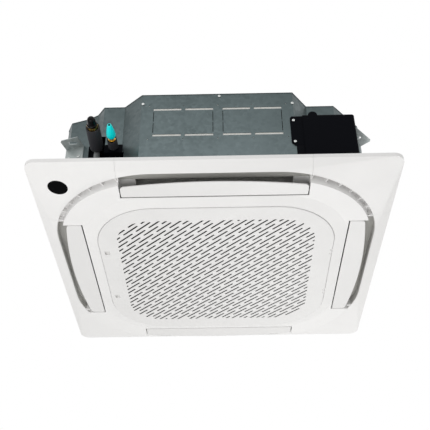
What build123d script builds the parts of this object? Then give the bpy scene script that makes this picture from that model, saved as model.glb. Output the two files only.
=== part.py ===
"""Ceiling cassette air conditioner: square panel below a steel casing.

Millimetres.  +Z is up, the origin is the centre of the intake grille's lower
face, and the front (the pipe side) faces -Y.
"""
import os
from math import atan2, cos, degrees, hypot, radians, sin, sqrt

from build123d import *

os.makedirs("parts", exist_ok=True)

# --------------------------------------------------------------- driving sizes
# Panel outline and its levels, from the grille's lower face upwards
panel_half = 475.0
panel_corner_radius = 28.0
seam_height = 2.5
shoulder_rise = 9.5
ring_step = 14.0
rim_slope_rise = 15.0
rim_band_height = 11.0
skin = 3.0
wall = 2.5

# The two curves that bound the ring of air outlets, and the grille's seam
ring_outer_half = 440.0
ring_outer_radius = 283.0
ring_inner_half = 421.0
ring_inner_radius = 246.0
shoulder_half = 360.0
shoulder_radius = 188.0
seam_half = 327.0
seam_radius = 165.0
seam_gap = 1.0
lip_height = 20.0

# Outlet slots and their louvers
slot_half_length = 243.0
slot_inner = 358.5
slot_lip = 1.0
throat_half_length = 203.0
throat_outer = 403.0
roof_thickness = 3.0
louver_end_gap = 3.0
louver_inner_gap = 4.5
louver_end_width = 403.0
louver_thickness = 3.0
louver_axis_out = 372.0
louver_axis_rise = 8.0
pin_radius = 2.5
pin_clearance = 0.08
bush_wall = 2.0
motor_radius = 12.0
motor_length = 19.0
motor_offset = 8.0

# Ribs that bridge the ring at the corners
rib_thickness = 2.5
rib_count = 7
rib_first_angle = 18.0
rib_depth = 14.0

# Corner covers and the signal receiver
cover_seam = 247.0
cover_gap = 0.4
cover_ledge = 3.2
cover_post_radius = 5.0
receiver_x = -402.0
receiver_y = -385.0
receiver_radius = 26.0
access_radius = 22.0

# Intake grille, its slots, filter, hinge and latches
grille_thickness = 3.0
field_half = 272.0
field_radius = 95.0
slot_pitch = 13.73
slot_period = 74.5
slot_length = 60.0
slot_width = 5.0
slot_row_start = 3.9
flange_height = 10.0
flange_inset = 3.0
filter_half = 290.0
filter_radius = 120.0
filter_depth = 5.0
filter_cells = 5
hinge_inset = 2.5
hinge_spacing = 220.0
hinge_pin_radius = 1.0
knuckle_radius = 2.1
knuckle_width = 12.0
lug_width = 5.0
latch_x = -304.0
latch_spacing = 242.0
latch_width = 17.0
latch_length = 8.0
latch_travel = 5.0

# Casing plan: the faces of each side, the set-back corners and the pipe recess
casing_half = 420.0
casing_height = 262.0
sheet = 1.2
seal_thickness = 4.0
seal_width = 12.0
front_flat_right = 215.0
front_flat_left = 195.0
set_back = 364.0
set_back_near = 257.0
set_back_far = 333.0
facet_x = 410.0
facet_y = 278.0
side_flat = 250.0
liner_thickness = 12.0

# Knock-outs in the front face
knockout_bottom = 169.0
knockout_top = 268.0
knockout_left = (-162.0, -1.0)
knockout_right = (24.0, 183.0)
knockout_slit = 7.0
knockout_bridge = 10.0

# Hanger brackets: the four slots hang the unit on threaded rods
hanger_x = 390.0
hanger_y = 340.0
hanger_z = 221.0
hanger_slot_width = 11.0
hanger_slot_length = 26.0
bracket_width = 72.0
bracket_depth = 50.0
bracket_leg = 78.0
bracket_sheet = 2.0

# Refrigerant coil
coil_outer_half = 312.0
coil_depth = 40.0
coil_radius = 90.0
coil_height = 186.0
coil_open = 190.0
fin_pitch = 6.0
fin_thickness = 0.6
fin_spine = 1.0
tube_radius = 3.5
tube_pitch = 21.0

# Fan, motor and bell mouth
throat_radius = 160.0
bell_flange_radius = 250.0
bell_rise = 52.0
fan_radius = 212.0
fan_inlet_radius = 172.0
fan_bottom = 112.0
fan_top = 236.0
blade_count = 7
blade_thickness = 3.0
motor_body_radius = 70.0
motor_body_height = 78.0
shaft_radius = 6.0

# Drain pan, pump and float
pan_half = 340.0
pan_radius = 120.0
pan_height = 38.0
pan_floor = 12.0
pan_hole_radius = 240.0
channel_wall = 18.0
drain_radius = 16.0
drain_y = -222.0
drain_z = 230.0
drain_bore = 13.0
pump_x = -240.0
pump_y = -240.0
pump_radius = 28.0
float_x = -232.0
float_y = -300.0

# Pipes at the recessed corner
gas_x = -318.0
gas_z = 190.0
gas_pipe_radius = 8.0
liquid_x = -270.0
liquid_z = 174.0
liquid_pipe_radius = 4.8
pipe_wall = 1.0
gas_foam = 10.5
liquid_foam = 8.5
sleeve_gap = 1.0
gas_sleeve_start = -357.0
gas_sleeve_end = -436.0
gas_nut_across = 26.0
gas_cap_tip = -474.0
liquid_sleeve_start = -350.0
liquid_sleeve_end = -404.0
liquid_nut_across = 18.0
liquid_cap_tip = -462.0

# Black tray let into the recess, round the pipes
tray_left = -345.0
tray_step = -293.0
tray_right = -240.0
tray_bottom = 60.0
tray_top_gas = 212.0
tray_top_liquid = 154.0
tray_back = -325.0
tray_wall = 1.5

# Electrical boxes
box_left = 240.0
box_right = 374.0
box_bottom = 58.0
box_top = 236.0
box_front = 424.0
box_wall = 2.0
control_length = 260.0
control_width = 54.0
control_height = 30.0

# Sheet-metal screws and the casing's bottom flange
flange_width = 14.0
screw_radius = 2.0
screw_head_radius = 4.0
screw_head_height = 2.4

clearance = 0.3

# --------------------------------------------------------------- derived sizes
shoulder_z = seam_height + shoulder_rise
rim_inner_z = shoulder_z + ring_step
rim_edge_z = rim_inner_z + rim_slope_rise
ceiling_z = rim_edge_z + rim_band_height
casing_z = ceiling_z + seal_thickness
casing_top = casing_z + casing_height
above_panel = ceiling_z + 20.0
grille_half = seam_half - seam_gap
grille_radius = seam_radius - seam_gap
louver_axis_z = shoulder_z + louver_axis_rise
hinge_x = grille_half - hinge_inset
hinge_z = seam_height
louver_half_length = slot_half_length - louver_end_gap
louver_inner = slot_inner + louver_inner_gap
louver_outer = ring_inner_half
motor_z = louver_axis_z + motor_offset
motor_stud_pcd = 2 * (motor_body_radius + 20.0)
gas_sleeve_radius = gas_pipe_radius + gas_foam
liquid_sleeve_radius = liquid_pipe_radius + liquid_foam
SIDES = {"front": 0, "right": 90, "back": 180, "left": 270}
CORNERS = {"front_left": (-1, -1), "front_right": (1, -1),
           "back_right": (1, 1), "back_left": (-1, 1)}


def rounded_square(half, corner_radius, mode=Mode.ADD):
    """A square with round corners, given by half its width."""
    return RectangleRounded(2 * half, 2 * half, corner_radius, mode=mode)


def box_between(low, high, mode=Mode.ADD):
    """A block between two corners of the current part."""
    size = [b - a for a, b in zip(low, high)]
    middle = [(a + b) / 2 for a, b in zip(low, high)]
    with Locations(tuple(middle)):
        return Box(*size, mode=mode)


def save(part, name):
    """Label a finished piece and write it."""
    part.label = name
    export_step(part, f"parts/{name}.step")
    return part


# --------------------------------------------------------------- casing outline
right_steps = [(front_flat_right, casing_half), (set_back_near, set_back),
               (set_back_far, set_back), (facet_x, facet_y), (casing_half, side_flat)]
recess_steps = [(-casing_half, -side_flat - 30.0), (-405.0, -312.0), (-358.0, -327.0),
                (-326.0, -344.0), (-304.0, -374.0), (-247.0, -374.0),
                (-front_flat_left, -casing_half)]
outline_points = (recess_steps
                  + [(x, -y) for x, y in right_steps]
                  + [(x, y) for x, y in reversed(right_steps)]
                  + [(-x, y) for x, y in right_steps])
recess_face_y = recess_steps[4][1]
panel_screw_places = [((set_back_near + set_back_far) / 2 * x_sign,
                       (set_back - flange_width / 2) * y_sign)
                      for x_sign, y_sign in ((1, -1), (1, 1), (-1, 1))]
panel_screw_places.append((-275.0, recess_face_y + flange_width / 2))
with BuildSketch() as casing_plan:
    with BuildLine():
        Polyline(*outline_points, close=True)
    make_face()


def casing_offset(inset):
    """The casing's plan, drawn in by a distance."""
    return offset(casing_plan.sketch, amount=-inset, kind=Kind.INTERSECTION, mode=Mode.PRIVATE)


# --------------------------------------------------------------- panel mouldings
def rim_shape(inset, lift):
    """The rim's outer skin as a solid: a band above a slope that runs in to the ring."""
    with BuildPart() as rim:
        with BuildSketch(Plane.XY.offset(rim_edge_z + lift)):
            rounded_square(panel_half - inset, panel_corner_radius - inset)
        extrude(amount=rim_band_height)
        with BuildSketch(Plane.XY.offset(rim_edge_z + lift)):
            rounded_square(panel_half - inset, panel_corner_radius - inset)
        with BuildSketch(Plane.XY.offset(rim_inner_z + lift)):
            rounded_square(ring_outer_half - inset, ring_outer_radius - inset)
        loft(ruled=True)
    return rim.part


def centre_shape(inset, lift):
    """The middle of the panel as a solid: flat under the louvers, sloped to the grille."""
    with BuildPart() as centre:
        with BuildSketch(Plane.XY.offset(shoulder_z + lift)):
            rounded_square(ring_inner_half - inset, ring_inner_radius - inset)
        extrude(amount=ceiling_z - shoulder_z)
        with BuildSketch(Plane.XY.offset(shoulder_z + lift)):
            rounded_square(shoulder_half, shoulder_radius)
        with BuildSketch(Plane.XY.offset(seam_height + lift)):
            rounded_square(seam_half + inset, seam_radius + inset)
        loft(ruled=True)
    return centre.part


rim_solid = rim_shape(0.0, 0.0)
centre_solid = centre_shape(0.0, 0.0)

with BuildPart() as envelope:
    add(rim_solid)
    add(centre_solid)

with BuildSketch() as corner_zones:
    corner_reach = panel_half - cover_seam + 1.0
    with GridLocations(2 * cover_seam + corner_reach, 2 * cover_seam + corner_reach, 2, 2):
        Rectangle(corner_reach, corner_reach)

with BuildSketch() as slots_plan:
    for turn in SIDES.values():
        with Locations(Location((0, 0, 0), (0, 0, turn))):
            with Locations((0, -(slot_inner + panel_half) / 2)):
                Rectangle(2 * slot_half_length, panel_half - slot_inner)
    rounded_square(ring_outer_half, ring_outer_radius, mode=Mode.INTERSECT)

with BuildSketch() as duct_walls_plan:
    for turn in SIDES.values():
        with Locations(Location((0, 0, 0), (0, 0, turn))):
            with Locations((0, -(slot_inner - wall + panel_half) / 2)):
                Rectangle(2 * (slot_half_length + wall), panel_half - slot_inner + wall)
    rounded_square(ring_outer_half + 1.0, ring_outer_radius + 1.0, mode=Mode.INTERSECT)

with BuildSketch() as roof_plan:
    add(duct_walls_plan.sketch)
    for turn in SIDES.values():
        with Locations(Location((0, 0, 0), (0, 0, turn))):
            with Locations((0, -(slot_inner + throat_outer) / 2)):
                Rectangle(2 * throat_half_length, throat_outer - slot_inner, mode=Mode.SUBTRACT)

with BuildSketch() as lips_plan:
    for turn in SIDES.values():
        with Locations(Location((0, 0, 0), (0, 0, turn))):
            with Locations((0, -slot_inner + wall / 2 - slot_lip)):
                Rectangle(2 * (slot_half_length + wall), wall)

with BuildSketch() as ring_corners_plan:
    rounded_square(ring_outer_half + 1.0, ring_outer_radius + 1.0)
    rounded_square(ring_inner_half - 1.0, ring_inner_radius - 1.0, mode=Mode.SUBTRACT)
    strip = 2 * (slot_half_length + wall / 2)
    Rectangle(strip, 2 * panel_half, mode=Mode.SUBTRACT)
    Rectangle(2 * panel_half, strip, mode=Mode.SUBTRACT)


def panel_skins():
    """Rim and centre mouldings as thin shells, open above."""
    with BuildPart() as shells:
        add(rim_solid)
        add(rim_shape(skin, skin), mode=Mode.SUBTRACT)
        with BuildSketch():
            rounded_square(ring_outer_half, ring_outer_radius)
        extrude(amount=above_panel, mode=Mode.SUBTRACT)
        with BuildSketch(Plane.XY.offset(rim_inner_z + 1.0)):
            rounded_square(ring_outer_half + wall, ring_outer_radius + wall)
            rounded_square(ring_outer_half, ring_outer_radius, mode=Mode.SUBTRACT)
        extrude(amount=ceiling_z - rim_inner_z - 1.0)
    return shells.part


def centre_shell():
    """The centre moulding with the grille's opening and the four outlet slots."""
    with BuildPart() as shell:
        add(centre_solid)
        add(centre_shape(wall, skin), mode=Mode.SUBTRACT)
        with BuildSketch():
            rounded_square(seam_half, seam_radius)
        extrude(amount=above_panel, mode=Mode.SUBTRACT)
        with BuildSketch(Plane.XY.offset(seam_height + 1.0)):
            rounded_square(seam_half + wall, seam_radius + wall)
            rounded_square(seam_half, seam_radius, mode=Mode.SUBTRACT)
        extrude(amount=lip_height - seam_height - 1.0)
        with BuildSketch():
            add(slots_plan.sketch)
        extrude(amount=above_panel, mode=Mode.SUBTRACT)
    return shell.part


def duct_walls():
    """Upright walls round each outlet slot, trimmed to the panel's visible surface."""
    with BuildPart() as walls:
        with BuildSketch():
            add(duct_walls_plan.sketch)
            add(slots_plan.sketch, mode=Mode.SUBTRACT)
        extrude(amount=ceiling_z)
        with BuildSketch():
            add(lips_plan.sketch)
        extrude(amount=shoulder_z + 2.0)
        add(envelope.part, mode=Mode.INTERSECT)
    return walls.part


def hinge_y_places():
    """The two hinge positions along the grille's right-hand edge."""
    return (-hinge_spacing / 2, hinge_spacing / 2)


def latch_y_places():
    """The two latch positions along the grille's left-hand edge."""
    return (-latch_spacing / 2, latch_spacing / 2)


with BuildPart() as panel_frame:
    add(panel_skins())
    # Room for the four lift-off corner covers
    with BuildSketch():
        add(corner_zones.sketch)
        rounded_square(ring_outer_half + wall + clearance, ring_outer_radius + wall + clearance,
                       mode=Mode.SUBTRACT)
    extrude(amount=above_panel, mode=Mode.SUBTRACT)
    with BuildSketch():
        add(corner_zones.sketch)
    extrude(amount=rim_inner_z + skin + cover_ledge, mode=Mode.SUBTRACT)
    # Corner plates behind the covers, with a hole to reach each hanger nut
    with BuildSketch(Plane.XY.offset(ceiling_z - roof_thickness)):
        with GridLocations(panel_half + slot_half_length, panel_half + slot_half_length, 2, 2):
            Rectangle(panel_half - slot_half_length, panel_half - slot_half_length)
        rounded_square(panel_half - skin - clearance, panel_corner_radius - skin - clearance,
                       mode=Mode.INTERSECT)
        with GridLocations(2 * hanger_x + 30.0, 2 * hanger_y + 100.0, 2, 2):
            Circle(access_radius, mode=Mode.SUBTRACT)
        with Locations(*panel_screw_places):
            Circle(screw_radius + clearance, mode=Mode.SUBTRACT)
    extrude(amount=roof_thickness)
    # Closed ends of the four straight rim bars
    for turn in SIDES.values():
        with BuildSketch(Plane.XY.rotated((0, 0, turn))):
            with Locations((cover_seam - wall / 2, 0), (-cover_seam + wall / 2, 0)):
                Rectangle(wall, 2 * panel_half)
            with Locations((0, panel_half / 2)):
                Rectangle(2 * panel_half, panel_half, mode=Mode.SUBTRACT)
            rounded_square(ring_outer_half, ring_outer_radius, mode=Mode.SUBTRACT)
        bar_end = extrude(amount=ceiling_z, mode=Mode.PRIVATE)
        add(bar_end & rim_solid)
    add(centre_shell())
    add(duct_walls())
    with BuildSketch(Plane.XY.offset(ceiling_z - roof_thickness)):
        add(roof_plan.sketch)
    extrude(amount=roof_thickness)
    # Ribs across the ring at each corner, under a closed roof
    with BuildSketch(Plane.XY.offset(rim_inner_z + rib_depth)):
        add(ring_corners_plan.sketch)
    extrude(amount=wall)
    arc_centre = (ring_outer_half - ring_outer_radius + ring_inner_half - ring_inner_radius) / 2
    arc_radius = (ring_outer_radius + ring_inner_radius) / 2
    rib_step = (90.0 - 2 * rib_first_angle) / (rib_count - 1)
    for x_sign, y_sign in CORNERS.values():
        with BuildSketch(Plane.XY.offset(rim_inner_z)):
            with Locations((x_sign * arc_centre, y_sign * arc_centre)):
                for index in range(rib_count):
                    angle = rib_first_angle + index * rib_step
                    direction = degrees(atan2(y_sign * sin(radians(angle)), x_sign * cos(radians(angle))))
                    with Locations(Location((0, 0, 0), (0, 0, direction))):
                        with Locations((arc_radius, 0)):
                            Rectangle(40.0, rib_thickness)
            add(ring_corners_plan.sketch, mode=Mode.INTERSECT)
            rounded_square(ring_outer_half - clearance, ring_outer_radius - clearance,
                           mode=Mode.INTERSECT)
        extrude(amount=rib_depth + 1.0)
    # Seats of the louver bushes
    for turn in SIDES.values():
        with Locations(Location((0, 0, 0), (0, 0, turn))):
            with Locations(Location((0, -louver_axis_out, louver_axis_z), (0, 90, 0))):
                Cylinder(pin_radius + bush_wall, 2 * (slot_half_length + wall + 1.0),
                         mode=Mode.SUBTRACT)
    # Hinge lugs for the grille on the right, latch pockets on the left
    for y_place in hinge_y_places():
        for side in (-1, 1):
            lug_y = y_place + side * (knuckle_width / 2 + clearance + lug_width / 2)
            with BuildSketch(Plane.XZ.offset(-(lug_y + lug_width / 2))):
                with Locations((hinge_x, hinge_z)):
                    Circle(knuckle_radius)
                with Locations(((hinge_x + seam_half + wall / 2) / 2, hinge_z + knuckle_radius / 2)):
                    Rectangle(seam_half + wall / 2 - hinge_x, knuckle_radius)
                with Locations((hinge_x, hinge_z)):
                    Circle(hinge_pin_radius + pin_clearance / 2, mode=Mode.SUBTRACT)
            extrude(amount=lug_width)
    for y_place in latch_y_places():
        box_between((-seam_half - wall - 1.0, y_place - latch_width / 2, grille_thickness + 0.4),
                    (-seam_half + 1.0, y_place + latch_width / 2, grille_thickness + 3.7),
                    mode=Mode.SUBTRACT)
save(panel_frame.part, "panel_frame")

# --------------------------------------------------------------- corner covers
receiver_arc = ring_outer_half - ring_outer_radius
receiver_out_x = receiver_x + receiver_arc
receiver_out_y = receiver_y + receiver_arc
receiver_out = hypot(receiver_out_x, receiver_out_y)
cover_run = (panel_half - panel_corner_radius - receiver_arc) * sqrt(2) + panel_corner_radius
cover_slope = rim_slope_rise / (cover_run - ring_outer_radius)
receiver_z = rim_inner_z + cover_slope * (receiver_out - ring_outer_radius)
receiver_axis = Vector(-cover_slope * receiver_out_x / receiver_out,
                       -cover_slope * receiver_out_y / receiver_out, 1)
receiver_plane = Plane(origin=(receiver_x, receiver_y, receiver_z), x_dir=(1, 0, 0),
                       z_dir=receiver_axis)
cover_post_far = panel_half - skin - 2 * cover_post_radius - 10.0
cover_post_near = cover_seam + 45.0

with BuildPart() as cover_blank:
    add(rim_solid)
    add(rim_shape(skin, skin), mode=Mode.SUBTRACT)
    with BuildSketch():
        rounded_square(ring_outer_half, ring_outer_radius)
    extrude(amount=above_panel, mode=Mode.SUBTRACT)

for corner, (x_sign, y_sign) in CORNERS.items():
    with BuildPart() as corner_cover:
        add(cover_blank.part)
        with BuildSketch():
            with Locations((x_sign * (cover_seam + cover_gap + panel_half / 2),
                            y_sign * (cover_seam + cover_gap + panel_half / 2))):
                Rectangle(panel_half, panel_half)
        extrude(amount=above_panel, mode=Mode.INTERSECT)
        # Two posts that plug up against the panel's corner plate
        with BuildSketch(Plane.XY.offset(rim_edge_z - 4.0)):
            with Locations((x_sign * cover_post_near, y_sign * cover_post_far),
                           (x_sign * cover_post_far, y_sign * cover_post_near)):
                Circle(cover_post_radius)
        extrude(amount=ceiling_z - roof_thickness - rim_edge_z + 4.0)
        if corner == "front_left":
            with BuildSketch(receiver_plane.offset(-10.0)):
                Circle(receiver_radius + clearance)
            extrude(amount=30.0, mode=Mode.SUBTRACT)
    save(corner_cover.part, f"corner_cover_{corner}")

with BuildPart() as receiver_window:
    with BuildSketch(receiver_plane.offset(-0.6)):
        Circle(receiver_radius)
    extrude(amount=skin + 2.0)
    with BuildSketch(receiver_plane.offset(skin + 1.0)):
        Circle(receiver_radius + 2.5)
    extrude(amount=1.4)
    with BuildSketch(receiver_plane.offset(skin + 1.6)):
        with Locations((-14.0, 0), (14.0, 0)):
            Circle(2.5)
    extrude(amount=5.3)
    outer_rim = receiver_window.edges().filter_by(GeomType.CIRCLE).sort_by(Axis.Z)[:1]
    fillet(outer_rim, radius=0.5)
save(receiver_window.part, "receiver_window")

with BuildPart() as receiver_board:
    with BuildSketch(receiver_plane.offset(skin + 7.0)):
        RectangleRounded(44.0, 30.0, 2.0)
    extrude(amount=1.6)
    with BuildSketch(receiver_plane.offset(skin + 3.2)):
        with Locations((0, 0)):
            Rectangle(8.0, 8.0)
        with Locations((-7.5, 9.0), (-2.5, 9.0), (2.5, 9.0), (7.5, 9.0)):
            Circle(1.5)
    extrude(amount=4.0)
save(receiver_board.part, "receiver_board")

# --------------------------------------------------------------- louvers
with BuildPart() as louver:
    with BuildSketch(Plane.XY.offset(shoulder_z)) as blade_plan:
        with BuildLine():
            Line((-louver_half_length, -louver_inner), (louver_half_length, -louver_inner))
            Line((louver_half_length, -louver_inner), (louver_half_length, -louver_end_width))
            ThreePointArc((louver_half_length, -louver_end_width), (0, -louver_outer),
                          (-louver_half_length, -louver_end_width))
            Line((-louver_half_length, -louver_end_width), (-louver_half_length, -louver_inner))
        make_face()
        fillet(blade_plan.vertices().group_by(Axis.Y)[0], radius=12.0)
        fillet(blade_plan.vertices().group_by(Axis.Y)[-1], radius=3.0)
    extrude(amount=louver_thickness)
    fillet(louver.faces().sort_by(Axis.Z)[0].edges(), radius=1.2)
    # Stiffening ribs and the cheeks that carry the pivot pins
    cheek_place = louver_half_length - 2.5
    for end in (-1, 1):
        with BuildSketch(Plane.YZ.offset(end * cheek_place - 1.5)):
            with Locations((-louver_axis_out, louver_axis_z)):
                Circle(pin_radius + 2.0)
            with Locations((-louver_axis_out, (louver_axis_z + shoulder_z) / 2 + 1.0)):
                Rectangle(2 * pin_radius + 4.0, louver_axis_z - shoulder_z - 2.0)
        extrude(amount=3.0)
    with BuildSketch(Plane.XY.offset(shoulder_z + 2.0)):
        with Locations((0, -louver_inner - 22.0), (0, -louver_inner - 34.0)):
            Rectangle(2 * louver_half_length - 30.0, 1.6)
    extrude(amount=4.0)
    pin_reach = slot_half_length + wall + 2.0
    for end in (-1, 1):
        with Locations(Location((end * (cheek_place + pin_reach) / 2, -louver_axis_out, louver_axis_z),
                                (0, 90, 0))):
            Cylinder(pin_radius, pin_reach - cheek_place)
    # Socket for the motor's shaft
    with Locations(Location((pin_reach, -louver_axis_out, louver_axis_z), (0, 90, 0))):
        Cylinder(1.6, 6.0, mode=Mode.SUBTRACT)

with BuildPart() as motor:
    motor_face = pin_reach + clearance
    with BuildSketch(Plane.YZ.offset(motor_face)):
        with Locations((-louver_axis_out, motor_z)):
            Circle(motor_radius)
    extrude(amount=motor_length)
    with BuildSketch(Plane.YZ.offset(motor_face + 1.0)):
        with Locations((-louver_axis_out, motor_z)):
            SlotOverall(2 * motor_radius + 16.0, 7.0, rotation=0)
            with Locations((-motor_radius - 4.5, 0), (motor_radius + 4.5, 0)):
                Circle(1.6, mode=Mode.SUBTRACT)
    extrude(amount=1.0)
    with Locations(Location((motor_face - 1.0, -louver_axis_out, louver_axis_z), (0, 90, 0))):
        Cylinder(1.5, 4.0)
    # Lead socket on top, and the foot that stands on the panel's shoulder
    box_between((motor_face + 4.0, -louver_axis_out - 7.0, motor_z + motor_radius - 2.0),
                (motor_face + 14.0, -louver_axis_out + 7.0, motor_z + motor_radius + 3.0))
    box_between((motor_face + 4.0, -louver_axis_out - 4.0, shoulder_z + skin),
                (motor_face + 14.0, -louver_axis_out + 4.0, motor_z - motor_radius + 3.0))

with BuildPart() as bushes:
    for turn in SIDES.values():
        for end in (-1, 1):
            with Locations(Location((0, 0, 0), (0, 0, turn))):
                with Locations(Location((end * (slot_half_length + wall / 2), -louver_axis_out,
                                         louver_axis_z), (0, 90, 0))):
                    Cylinder(pin_radius + bush_wall, wall)
                    Cylinder(pin_radius + pin_clearance, wall, mode=Mode.SUBTRACT)
save(bushes.part, "louver_bushes")

for side, turn in SIDES.items():
    save(louver.part.rotate(Axis.Z, turn), f"louver_{side}")
with BuildPart() as louver_motors:
    for turn in SIDES.values():
        add(motor.part.rotate(Axis.Z, turn))
save(louver_motors.part, "louver_motors")

# --------------------------------------------------------------- intake grille
row_reach = int(2 * field_half / (slot_pitch * sqrt(2))) + 1
column_reach = int(2 * field_half / (slot_period * sqrt(2))) + 2
slot_places = []
for row in range(-row_reach, row_reach + 1):
    across = slot_row_start + row * slot_pitch
    for column in range(-column_reach, column_reach + 1):
        along = (column + (row % 2) / 2) * slot_period
        x_place = (along + across) / sqrt(2)
        y_place = (across - along) / sqrt(2)
        reach = field_half + slot_length / 2
        if abs(x_place) < reach and abs(y_place) < reach:
            slot_places.append((x_place, y_place))

with BuildSketch() as slot_field:
    with Locations(*slot_places):
        SlotOverall(slot_length, slot_width, rotation=-45)
    rounded_square(field_half, field_radius, mode=Mode.INTERSECT)
open_slots = [face for face in slot_field.sketch.faces() if face.area > slot_width ** 2 / 2]

with BuildPart() as intake_grille:
    with BuildSketch() as plate_plan:
        rounded_square(grille_half, grille_radius)
        add(open_slots, mode=Mode.SUBTRACT)
        for y_place in latch_y_places():
            with Locations((latch_x - latch_travel / 2, y_place)):
                Rectangle(latch_length + latch_travel + 2 * clearance, latch_width + 2 * clearance,
                          mode=Mode.SUBTRACT)
        for y_place in hinge_y_places():
            for side in (-1, 1):
                lug_y = y_place + side * (knuckle_width / 2 + clearance + lug_width / 2)
                with Locations((hinge_x + seam_half / 2 - knuckle_radius - clearance, lug_y)):
                    Rectangle(seam_half, lug_width + 2 * clearance, mode=Mode.SUBTRACT)
    extrude(amount=grille_thickness)
    outer_edges = intake_grille.faces().sort_by(Axis.Z)[0].outer_wire().edges()
    fillet(outer_edges, radius=2.0)
    # Stiffening flange behind the edge, cut away at the hinges and latches
    with BuildSketch(Plane.XY.offset(grille_thickness)):
        rounded_square(grille_half - flange_inset, grille_radius - flange_inset)
        rounded_square(grille_half - flange_inset - wall, grille_radius - flange_inset - wall,
                       mode=Mode.SUBTRACT)
        for y_place in hinge_y_places():
            with Locations((hinge_x, y_place)):
                Rectangle(40.0, knuckle_width + 2 * lug_width + 8.0, mode=Mode.SUBTRACT)
        for y_place in latch_y_places():
            with Locations((latch_x, y_place)):
                Rectangle(60.0, latch_width + 8.0, mode=Mode.SUBTRACT)
    extrude(amount=flange_height)
    # Hinge knuckles
    for y_place in hinge_y_places():
        with BuildSketch(Plane.XZ.offset(-(y_place + knuckle_width / 2))):
            with Locations((hinge_x, hinge_z)):
                Circle(knuckle_radius)
        extrude(amount=knuckle_width)
        with Locations((hinge_x, y_place, hinge_z)):
            Cylinder(hinge_pin_radius + pin_clearance, knuckle_width + clearance,
                     rotation=(90, 0, 0), mode=Mode.SUBTRACT)
    # Guide rails with a bridge over each latch slider
    rail_height = 6.0
    for y_place in latch_y_places():
        rail_far = latch_width / 2 + clearance + 2.0
        for side in (-1, 1):
            rail_y = y_place + side * (rail_far - 1.0)
            box_between((latch_x - 18.0, rail_y - 1.0, grille_thickness - 0.5),
                        (latch_x + 6.0, rail_y + 1.0, grille_thickness + rail_height))
        box_between((latch_x - 16.0, y_place - rail_far, grille_thickness + rail_height - 1.6),
                    (latch_x - 10.0, y_place + rail_far, grille_thickness + rail_height))
save(intake_grille.part, "intake_grille")

for name, y_place in zip(("grille_latch_front", "grille_latch_back"), latch_y_places()):
    tongue_tip = -grille_half + 0.8
    with BuildPart() as latch:
        box_between((latch_x - latch_length / 2, y_place - latch_width / 2, 0.5),
                    (latch_x + latch_length / 2, y_place + latch_width / 2, grille_thickness + 1.0))
        chamfer(latch.edges().filter_by(Axis.Y).group_by(Axis.Z)[0], length=0.8)
        box_between((tongue_tip, y_place - latch_width / 2 + 0.5, grille_thickness + 0.7),
                    (latch_x + 7.0, y_place + latch_width / 2 - 0.5, grille_thickness + 3.4))
    save(latch.part, name)

with BuildPart() as hinge_pins:
    pin_length = knuckle_width + 2 * clearance + 2 * lug_width
    with Locations(*[(hinge_x, y_place, hinge_z) for y_place in hinge_y_places()]):
        Cylinder(hinge_pin_radius, pin_length, rotation=(90, 0, 0))
save(hinge_pins.part, "grille_hinge_pins")

filter_z = grille_thickness + 0.3
with BuildPart() as air_filter:
    with BuildSketch(Plane.XY.offset(filter_z)):
        rounded_square(filter_half, filter_radius)
        rounded_square(filter_half - 7.0, filter_radius - 7.0, mode=Mode.SUBTRACT)
    extrude(amount=filter_depth)
    with BuildSketch(Plane.XY.offset(filter_z + 1.2)):
        cell = 2 * filter_half / filter_cells
        for index in range(1, filter_cells):
            bar_place = -filter_half + index * cell
            with Locations((bar_place, 0)):
                Rectangle(3.0, 2 * filter_half)
            with Locations((0, bar_place)):
                Rectangle(2 * filter_half, 3.0)
        rounded_square(filter_half - 1.0, filter_radius - 1.0, mode=Mode.INTERSECT)
    extrude(amount=filter_depth - 1.2)
save(air_filter.part, "air_filter")

with BuildPart() as filter_net:
    with BuildSketch(Plane.XY.offset(filter_z + 0.4)):
        rounded_square(filter_half - 7.2, filter_radius - 7.2)
    extrude(amount=0.6)
save(filter_net.part, "filter_net")

# --------------------------------------------------------------- casing


def tray_rectangles(inset):
    """The stepped opening in the pipe recess, drawn in by a distance."""
    for left, right, top in ((tray_left, tray_step, tray_top_gas),
                             (tray_step - 20.0, tray_right, tray_top_liquid)):
        with Locations(((left + right) / 2, (tray_bottom + top) / 2)):
            Rectangle(right - left - 2 * inset, top - tray_bottom - 2 * inset)


def knockout_slits(span):
    """Slits round one knock-out: split bars above and below, thin lines at the sides."""
    left, right = span
    middle = (left + right) / 2
    half_bar = (right - left - knockout_bridge) / 4
    for slit_z in (knockout_bottom + knockout_slit / 2, knockout_top - knockout_slit / 2):
        with Locations((middle - knockout_bridge / 2 - half_bar, slit_z),
                       (middle + knockout_bridge / 2 + half_bar, slit_z)):
            Rectangle(2 * half_bar, knockout_slit)
    side_height = (knockout_top - knockout_bottom - 2 * knockout_slit) / 2 - 8.0
    for slit_x in (left + 0.9, right - 0.9):
        for side in (-1, 1):
            with Locations((slit_x, (knockout_bottom + knockout_top) / 2
                            + side * (side_height / 2 + 2.5))):
                Rectangle(1.8, side_height)
    for hole_x in (left - 12.0, middle, right + 12.0):
        for hole_z in (knockout_bottom - 10.0, knockout_top + 10.0):
            with Locations((hole_x, hole_z)):
                Circle(1.6)


casing_screw_z = casing_top - 8.0
face_plane = Plane.XZ.offset(casing_half)
casing_screw_spots = [face_plane * Location((x, z, 0))
                      for x, z in ((-0.98 * front_flat_left, knockout_top + 17.0),
                                   (16.0, casing_screw_z),
                                   (front_flat_right - 2.0, knockout_top + 11.0))]
for turn in (90, 180, 270):
    side_plane = Plane.XZ.rotated((0, 0, turn)).offset(casing_half)
    casing_screw_spots += [side_plane * Location((x, casing_screw_z, 0)) for x in (-150.0, 0.0, 150.0)]

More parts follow.
